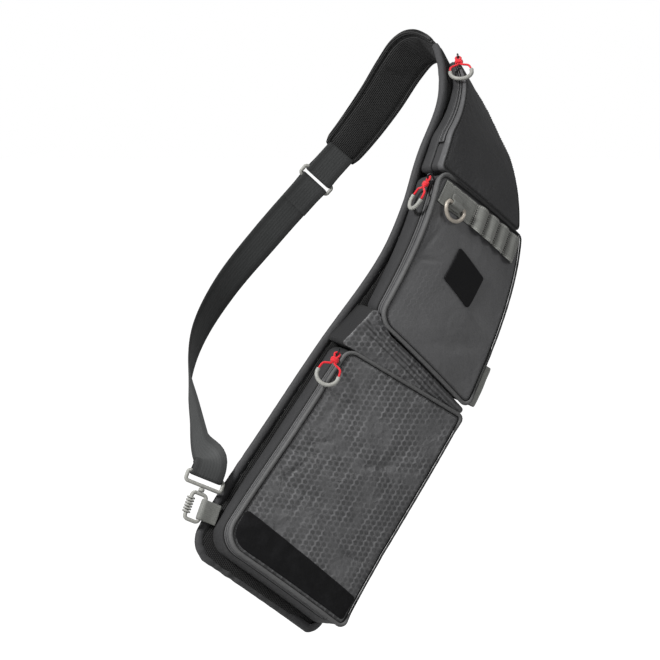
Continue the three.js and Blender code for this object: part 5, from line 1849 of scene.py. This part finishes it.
def slider(name, stiff):
    """The slider's wire link, from the cord to the coil."""
    at, _, side, _ = stiff
    foot = corner_place(name, PULLS[name][1])
    run = foot - at
    run = run - side * (run @ side)
    foot = at + run
    run = unit(run)
    wide = unit(np.cross(side, run))
    turn = np.linspace(0, np.pi, 9)[:, None]
    bend = LINK_HALF * (wide * np.cos(turn) + run * np.sin(turn))
    path = even(np.vstack([foot + bend, at - bend]), 0.7, True)
    mesh = tube(name + "_slider", path, LINK_WIRE, "slider_metal", 10, True)
    piece(name + "_slider_link", mesh, "ring_metal", name + "_slider")


def pulls():
    """The three zip pulls."""
    for name in PULLS:
        pull(name)


# Padded pieces

# The cloth pressure that swells a pad, and the frames it acts for
PAD_PRESSURE = 4.0
PAD_FRAMES = 20


def inflated(name, places, uvs, sewn, cap):
    """A padded piece: a fine skin swollen by cloth pressure between its sewn lines."""
    mesh = skin(name, places, ["air_mesh"], uvs=uvs)
    pad = bpy.data.objects.new(name, mesh)
    bpy.context.scene.collection.objects.link(pad)
    rest = coordinates(mesh)
    group = pad.vertex_groups.new(name="sewn")
    group.add(np.flatnonzero(np.ravel(sewn) > 0.5).tolist(), 1.0, "REPLACE")
    cloth = pad.modifiers.new("Cloth", "CLOTH")
    cloth.settings.quality = 4
    cloth.settings.mass = 0.3
    cloth.settings.tension_stiffness = 6
    cloth.settings.compression_stiffness = 6
    cloth.settings.bending_stiffness = 0.8
    cloth.settings.vertex_group_mass = "sewn"
    cloth.settings.use_pressure = True
    cloth.settings.uniform_pressure_force = PAD_PRESSURE
    cloth.settings.effector_weights.gravity = 0
    cloth.point_cache.frame_start = 1
    cloth.point_cache.frame_end = PAD_FRAMES
    for number in range(1, PAD_FRAMES + 1):
        bpy.context.scene.frame_set(number)
    apply_modifiers(pad)
    bpy.context.scene.frame_set(1)
    moved = coordinates(pad.data) - rest
    size = np.linalg.norm(moved, axis=1, keepdims=True)
    moved *= np.minimum(1, cap * MM / np.maximum(size, 1e-9))
    pad.data.vertices.foreach_set("co", (rest + moved).ravel())
    finer = pad.modifiers.new("Finer", "SUBSURF")
    finer.levels = finer.render_levels = 1
    apply_modifiers(pad)
    made = pad.data
    bpy.data.objects.remove(pad)
    made.shade_smooth()
    return made


def apply_modifiers(shown):
    """Replaces an object's mesh by what its modifiers make of it."""
    bpy.context.view_layer.update()
    real = shown.evaluated_get(bpy.context.evaluated_depsgraph_get())
    made = bpy.data.meshes.new_from_object(real)
    shown.modifiers.clear()
    shown.data = made


def coordinates(mesh):
    """A mesh's vertices as rows, in metres."""
    co = np.empty(len(mesh.vertices) * 3)
    mesh.vertices.foreach_get("co", co)
    return co.reshape(-1, 3)


def back_edge(share, side):
    """The back panel's left or right edge, in mm."""
    return smooth(BACK_EDGES, side, share) * BAG_WIDTH


def back_line(share):
    """Distances along the bag at shares of the back panel's length."""
    return BACK_BOTTOM + (BAG_LENGTH - BACK_BOTTOM) * share


# The columns of each face of the back panel
PANEL_CUTS = 48


def back_panel():
    """The padded mesh panel that lies against the wearer, with sewn channels."""
    share = np.linspace(0, 1, 190)
    left, right = back_edge(share, "left") + 1.2, back_edge(share, "right") - 1.2
    v = back_line(share)
    v[0] += 1.5
    cuts = np.linspace(0, 1, PANEL_CUTS)
    across = left[:, None] + (right - left)[:, None] * np.r_[cuts, cuts[::-1]]
    across, along = np.broadcast_arrays(across, v[:, None])
    thin = 1 - 0.55 * np.exp(-np.minimum(cuts, 1 - cuts) * 24)
    half = (PAD / 2 - 1.1) * np.r_[-thin, thin[::-1]]
    wearer = np.r_[np.ones(PANEL_CUTS), np.zeros(PANEL_CUTS)]
    sewn = channel(across, along) * wearer
    level = PAD / 2 + half + 2.2 * sewn
    level += 0.3 * noise(across / 16, along / 16, 81) * wearer
    uvs = np.stack([across, along], -1) * MM
    made = inflated("back_panel_pad", worn(across, along, level), uvs, sewn, 2.0)
    piece("back_panel_pad", made, "mesh", "back_panel")


# Lines sewn through the back panel: the two long ones, and how far apart the slanted ones are
CHANNEL_LEFT = -34
CHANNEL_RIGHT = 30
CHANNEL_PITCH = 62


def channel(u, v):
    """One along the lines sewn through the wearer's side, falling to nought beside them."""
    left, right = u - CHANNEL_LEFT, u - CHANNEL_RIGHT
    line = np.maximum(np.exp(-((left / 2.4) ** 2)), np.exp(-((right / 2.4) ** 2)))
    middle = (CHANNEL_LEFT + CHANNEL_RIGHT) / 2
    half = CHANNEL_PITCH / 2
    slant = np.abs((v + 0.5 * np.abs(u - middle)) % CHANNEL_PITCH - half) - half
    inside = ease(left / 6) * ease(-right / 6)
    line = np.maximum(line, inside * np.exp(-((slant / 2.2) ** 2)))
    return line * ease((v - 14) / 10) * ease((650 - v) / 10)


# The pad's sewn end: shares of the way from the back panel's upper edge, its width there as a
# share of that edge, its thickness and its level
ROOT_SHARES = np.linspace(0, 0.85, 6)
ROOT_WIDE = 0.9
ROOT_THICK = 6.4
ROOT_LEVEL = 4.6


def pad_root(a, b, first, across, out):
    """Rings that join the pad's first ring to the back panel's upper edge, where it is sewn on."""
    left, right = back_edge(1, "left"), back_edge(1, "right")
    middle = (left + right) / 2
    rightward = worn(right, BAG_LENGTH, ROOT_LEVEL) - worn(left, BAG_LENGTH, ROOT_LEVEL)
    outward = worn(middle, BAG_LENGTH, ROOT_LEVEL + 1) - worn(middle, BAG_LENGTH, ROOT_LEVEL)
    side = np.sign(rightward @ across)
    rise = np.sign(outward @ out)
    u = middle + side * a * ROOT_WIDE * abs(right - left)
    edge = worn(u, BAG_LENGTH, ROOT_LEVEL + rise * b * ROOT_THICK)
    share = ROOT_SHARES[:, None, None]
    return edge * (1 - share) + first * share


def shoulder_pad():
    """The padded piece over the shoulder, with a line sewn inside its edge."""
    first, last = SHOULDER_PAD["at"][0], SHOULDER_PAD["at"][-1]
    stops = np.linspace(first + 1, last - 1, 100)
    at, _, out, across = route_frame(stops)
    wide = smooth(SHOULDER_PAD, "wide", stops) - 1.5
    thick = smooth(SHOULDER_PAD, "thick", stops)
    angle = np.linspace(0, 2 * np.pi, 56, endpoint=False)
    a = np.sign(np.cos(angle)) * np.abs(np.cos(angle)) ** 0.4 / 2
    b = np.sign(np.sin(angle)) * np.abs(np.sin(angle)) ** 0.7 * 0.42
    sewn = np.exp(-(((np.abs(a) * wide[:, None] - wide[:, None] / 2 + 6.5) / 1.6) ** 2))
    sewn *= np.abs(b) > 0.25
    high = thick[:, None] * (b + 0.5) - 1.5 - 2.0 * sewn * np.sign(b)
    places = at[:, None] + across[:, None] * (wide[:, None] * a)[..., None] + out[:, None] * high[..., None]
    root = pad_root(a, b, places[0], across[0], out[0])
    near = stops[0] - first * (1 - ROOT_SHARES)
    places = np.vstack([root, places])
    sewn = np.vstack([np.ones((len(root), len(a))), sewn])
    wide = np.r_[np.full(len(near), wide[0]), wide]
    maps = np.broadcast_arrays(wide[:, None] * a, np.r_[near, stops][:, None])
    uvs = np.stack(maps, -1) * MM
    made = inflated("shoulder_pad_pad", places, uvs, sewn, 1.6)
    piece("shoulder_pad_pad", made, "mesh", "shoulder_pad")


# The edge tape's section: out from the panel's edge and level
BINDING_ROWS = (
    (-6.5, 0.6),
    (-2.0, 0.4),
    (1.4, 1.0),
    (2.6, 2.6),
    (2.9, 4.5),
    (2.6, 6.6),
    (1.4, 8.2),
    (-2.0, 8.9),
    (-6.5, 8.6),
    (-6.5, 7.4),
    (-1.0, 7.2),
    (-1.0, 2.0),
    (-6.5, 1.8),
)


def cross_line(start, end, v, count):
    """Flat places from one edge to the other, without the two ends."""
    return np.stack([np.linspace(start, end, count), np.full(count, v)], -1)[1:-1]


def back_binding():
    """The bias tape folded round the back panel's edge, gathered at its lower left."""
    share = np.r_[np.linspace(1, 0.04, 240), np.linspace(0.038, 0, 22)]
    left = np.stack([back_edge(share, "left"), back_line(share)], -1)
    bottom = cross_line(left[-1, 0], back_edge(0, "right"), BACK_BOTTOM, 52)
    right = np.stack([back_edge(share[::-1], "right"), back_line(share[::-1])], -1)
    top = cross_line(right[-1, 0], left[0, 0], BAG_LENGTH, 24)
    ring = even(np.vstack([left, bottom, right, top]), 2.6, True)
    wave = noise(np.arange(len(ring)) / 3.2, np.zeros(len(ring)), 71)
    gather = 0.3 + 0.9 * ease((140 - ring[:, 1]) / 90) * ease((20 - ring[:, 0]) / 60)
    wave = (gather * wave)[:, None]
    steps, levels = np.array(BINDING_ROWS).T
    out = steps + 0.8 * wave * (steps > -1)
    mesh = strip("back_binding", ring, out, levels + 1.1 * wave, "edge_tape")
    piece("back_binding_cloth", mesh, "binding", "back_binding")


# Seams


# How far stitches lie off a front, and off the webbing along it and across it
FRONT_STITCH = 0.15
ALONG_STITCH = 1.65
ACROSS_STITCH = 1.7


def front_line(name, inset):
    """A line inside a pocket's front edge, with the ways out of its cloth."""
    ring = outline(OUTLINES[name], 2.5)
    flat = closed_up(ring - outs(ring) * inset)
    level = cloth_level(name, flat[:, 0], flat[:, 1]) + FRONT_STITCH
    low = worn(flat[:, 0], flat[:, 1], level)
    high = worn(flat[:, 0], flat[:, 1], level + 1)
    return low, unit(high - low)


def band_line(share, side, lift):
    """A line on the webbing band, with the ways out of it."""
    low = band_place(share, side, lift)
    return low, unit(band_place(share, side, lift + 1) - low)


def seams():
    """Stitches along the fronts' edges, and along and across the webbing band."""
    size = bpy.context.scene.sling_sizes
    dark = [front_line("lower", 4.6), front_line("middle", 4.4), front_line("shoulder", 2.8)]
    beads("front_stitches", dark, "dark_thread", "black_cloth", size.stitch_spacing, 2.3, 0.6, 0.5)
    pale = []
    for side in (-0.86, 0.86):
        pale.append(band_line(np.linspace(0.01, 0.99, 180), np.full(180, side), ALONG_STITCH))
    for k in range(LOOP_COUNT + 1):
        u = LOOP_START + (LOOP_END - LOOP_START) * k / LOOP_COUNT
        share = (u - BAND_ENDS[0][0]) / (BAND_ENDS[1][0] - BAND_ENDS[0][0])
        for shift in (-0.006, 0.006):
            side = np.linspace(-0.9, 0.9, 12)
            pale.append(band_line(np.full(12, share + shift), side, ACROSS_STITCH))
    beads("webbing_stitches", pale, "grey_thread", "webbing", size.stitch_spacing * 0.8, 1.9, 0.8, 0.7)


# Settings, operators and panel


def length(name, description, default):
    """A length property in metres."""
    return bpy.props.FloatProperty(
        name=name, description=description, default=default, min=0.0, unit="LENGTH", subtype="DISTANCE"
    )


def colour(name, description, code):
    """A colour property from its six-digit code."""
    return bpy.props.FloatVectorProperty(
        name=name, description=description, default=paint(code), size=4, min=0.0, max=1.0, subtype="COLOR"
    )


class SlingSizes(bpy.types.PropertyGroup):
    """Sizes of the details that repeat."""

    stitch_spacing: length("Stitch spacing", "Distance between one stitch and the next", 0.0032)
    tooth_spacing: length("Tooth spacing", "Distance between one zip tooth and the next", 0.0016)


class SlingFinish(bpy.types.PropertyGroup):
    """Colours and pattern sizes of the materials."""

    cell: length("Honeycomb cell", "Width of one cell of the ripstop cloth", 0.0072)
    mesh_cell: length("Mesh cell", "Width of one hole of the spacer mesh", 0.0024)
    ripstop: colour("Ripstop", "Honeycomb cloth of the lower pocket", "525253")
    plain: colour("Plain cloth", "Cloth of the middle pocket's front", "515152")
    black: colour("Black cloth", "Cloth of the shoulder section", "363637")
    band: colour("Foot band", "Brushed band on the lower pocket", "101011")
    gusset: colour("Gusset", "Side walls below the zips", "333334")
    side: colour("Side", "Side walls above the zips", "505051")
    piping: colour("Piping", "Piping", "585858")
    edging: colour("Edge tape", "Tape round the back panel", "3e3e3f")
    tape: colour("Zip tape", "Tape of the zips", "5a5a5b")
    teeth: colour("Zip teeth", "Coil of the zips", "161617")
    webbing: colour("Webbing", "Webbing of the band, loop and tab", "787975")
    strap: colour("Strap", "Webbing of the loop strap", "323333")
    mesh: colour("Mesh", "Spacer mesh of the back", "343434")
    cord: colour("Cord", "Zip pull cords", "d8061f")
    hoop: colour("Hoop", "Zip pull hoops and fittings", "94948f")
    ring: colour("D-ring", "The D-ring's enamel", "a39c92")
    label: colour("Patch", "The patch on the middle pocket", "0a0a0b")


class SLING_OT_pockets(bpy.types.Operator):
    """Build the three pockets and the cloth between them"""

    bl_idname = "sling.pockets"
    bl_label = "Pockets"

    def execute(self, context):
        make_pockets()
        return {"FINISHED"}


class SLING_OT_zips(bpy.types.Operator):
    """Build the zip tapes and coils"""

    bl_idname = "sling.zips"
    bl_label = "Zips"

    def execute(self, context):
        zip_tapes()
        return {"FINISHED"}


class SLING_OT_piping(bpy.types.Operator):
    """Build the piping and the back panel's edge tape"""

    bl_idname = "sling.piping"
    bl_label = "Piping and edge tape"

    def execute(self, context):
        piping()
        back_binding()
        return {"FINISHED"}


class SLING_OT_patches(bpy.types.Operator):
    """Build the foot band and the patch"""

    bl_idname = "sling.patches"
    bl_label = "Band and patch"

    def execute(self, context):
        lower_band()
        label()
        return {"FINISHED"}


class SLING_OT_webbing(bpy.types.Operator):
    """Build the looped webbing, the D-ring and the side loop"""

    bl_idname = "sling.webbing"
    bl_label = "Webbing and D-ring"

    def execute(self, context):
        webbing_band()
        d_ring()
        side_loop()
        return {"FINISHED"}


class SLING_OT_straps(bpy.types.Operator):
    """Build the loop strap, its tab and its fittings"""

    bl_idname = "sling.straps"
    bl_label = "Straps and fittings"

    def execute(self, context):
        straps()
        fittings()
        hook_tab()
        return {"FINISHED"}


class SLING_OT_pulls(bpy.types.Operator):
    """Build the zip pulls with their cords"""

    bl_idname = "sling.pulls"
    bl_label = "Zip pulls"

    def execute(self, context):
        pulls()
        return {"FINISHED"}


class SLING_OT_pads(bpy.types.Operator):
    """Build the padded back panel and shoulder pad"""

    bl_idname = "sling.pads"
    bl_label = "Padded pieces"

    def execute(self, context):
        back_panel()
        shoulder_pad()
        return {"FINISHED"}


class SLING_OT_seams(bpy.types.Operator):
    """Sew the stitches"""

    bl_idname = "sling.seams"
    bl_label = "Seams"

    def execute(self, context):
        seams()
        return {"FINISHED"}


# The stage in metres and degrees: the floor, the strengths of its glow and of the lights,
# the lamps' place to look at, and the camera
FLOOR_Z = -1.42
FLOOR_RADIUS = 40
FLOOR_GLOW = 0.78
SURROUND = 0.22
OVERHEAD = 0.9
BAG_MIDDLE = (-0.13, -0.09, -0.3)
LENS = 163.1
CAMERA_PLACE = (-1.3241, -3.2472, 0.008)
CAMERA_YAW = -20.04
CAMERA_PITCH = -5.146


def soft_light(name, place, size, power):
    """An area light looking at the bag."""
    data = bpy.data.lights.new(name, "AREA")
    data.shape = "DISK"
    data.size = size
    data.energy = power
    lamp = bpy.data.objects.new(name, data)
    bpy.context.scene.collection.objects.link(lamp)
    lamp.location = place
    lamp.rotation_euler = (Vector(BAG_MIDDLE) - Vector(place)).to_track_quat("-Z", "Y").to_euler()


def stage_floor():
    """A wide pale floor below the worn bag."""
    floor_mesh = bpy.data.meshes.new("floor")
    angle = np.linspace(0, 2 * np.pi, 48, endpoint=False)
    points = [(FLOOR_RADIUS * math.cos(a), FLOOR_RADIUS * math.sin(a), FLOOR_Z) for a in angle]
    floor_mesh.from_pydata(points, [], [list(range(48))])
    material = bpy.data.materials.new("floor")
    material.use_nodes = True
    tree = material.node_tree
    shader = tree.nodes["Principled BSDF"]
    speck = put(tree, "ShaderNodeTexNoise", {"Scale": 3.0, "Detail": 2.0}).outputs[0]
    tone = mixed(tree, speck, (0.5, 0.5, 0.5, 1), (0.54, 0.54, 0.54, 1))
    tree.links.new(tone, shader.inputs["Base Color"])
    seen = put(tree, "ShaderNodeLightPath").outputs["Is Camera Ray"]
    shader.inputs["Emission Strength"].default_value = 1.0
    glow = mixed(tree, seen, (0, 0, 0, 1), (FLOOR_GLOW, FLOOR_GLOW, FLOOR_GLOW, 1))
    tree.links.new(glow, shader.inputs["Emission Color"])
    shader.inputs["Roughness"].default_value = 0.9
    floor_mesh.materials.append(material)
    floor_object = bpy.data.objects.new("floor", floor_mesh)
    bpy.context.scene.collection.objects.link(floor_object)


def stage_world():
    """A white surround, dimmer as a light than as a background."""
    world = bpy.data.worlds.new("surround")
    world.use_nodes = True
    tree = world.node_tree
    seen = put(tree, "ShaderNodeLightPath").outputs["Is Camera Ray"]
    back = tree.nodes["Background"]
    back.inputs["Color"].default_value = (1.0, 1.0, 1.0, 1)
    tree.links.new(calc(tree, "MULTIPLY_ADD", seen, 1 - SURROUND, SURROUND), back.inputs["Strength"])
    bpy.context.scene.world = world
    bpy.context.scene.view_settings.view_transform = "Standard"


class SLING_OT_stage(bpy.types.Operator):
    """Set the floor, the surround, the lights and the camera"""

    bl_idname = "sling.stage"
    bl_label = "Stage"

    def execute(self, context):
        stage_floor()
        stage_world()
        soft_light("key", (-2.9, -1.5, 1.9), 0.8, 185)
        soft_light("fill", (1.6, -2.6, 0.9), 1.2, 22)
        overhead = bpy.data.objects.new("overhead", bpy.data.lights.new("overhead", "SUN"))
        context.scene.collection.objects.link(overhead)
        overhead.data.energy = OVERHEAD
        overhead.data.angle = math.radians(60)
        camera = bpy.data.cameras.new("camera")
        camera.lens = LENS
        camera.sensor_width = 36
        camera.clip_end = 200
        shown = bpy.data.objects.new("camera", camera)
        context.scene.collection.objects.link(shown)
        shown.location = CAMERA_PLACE
        shown.rotation_euler = (math.radians(90 + CAMERA_PITCH), 0, math.radians(CAMERA_YAW))
        context.scene.camera = shown
        return {"FINISHED"}


STEPS = (
    SLING_OT_stage,
    SLING_OT_pads,
    SLING_OT_pockets,
    SLING_OT_zips,
    SLING_OT_piping,
    SLING_OT_patches,
    SLING_OT_webbing,
    SLING_OT_straps,
    SLING_OT_pulls,
    SLING_OT_seams,
)


class SLING_PT_panel(bpy.types.Panel):
    """Lists the bag's settings and steps"""

    bl_idname = "SLING_PT_panel"
    bl_label = "Sling bag"
    bl_space_type = "VIEW_3D"
    bl_region_type = "UI"
    bl_category = "Sling bag"

    def draw(self, context):
        for settings in (context.scene.sling_sizes, context.scene.sling_finish):
            for key in settings.__annotations__:
                self.layout.prop(settings, key)
        for step in STEPS:
            self.layout.operator(step.bl_idname)


CLASSES = (SlingSizes, SlingFinish, *STEPS, SLING_PT_panel)


def register():
    """Adds the classes and their settings to Blender."""
    for cls in CLASSES:
        bpy.utils.register_class(cls)
    bpy.types.Scene.sling_sizes = bpy.props.PointerProperty(type=SlingSizes)
    bpy.types.Scene.sling_finish = bpy.props.PointerProperty(type=SlingFinish)


def unregister():
    """Takes them out again."""
    del bpy.types.Scene.sling_finish
    del bpy.types.Scene.sling_sizes
    for cls in reversed(CLASSES):
        bpy.utils.unregister_class(cls)


def main():
    """Registers the add-on and builds the whole bag."""
    register()
    for step in STEPS:
        getattr(bpy.ops.sling, step.bl_idname.removeprefix("sling."))()


if __name__ == "__main__":
    main()
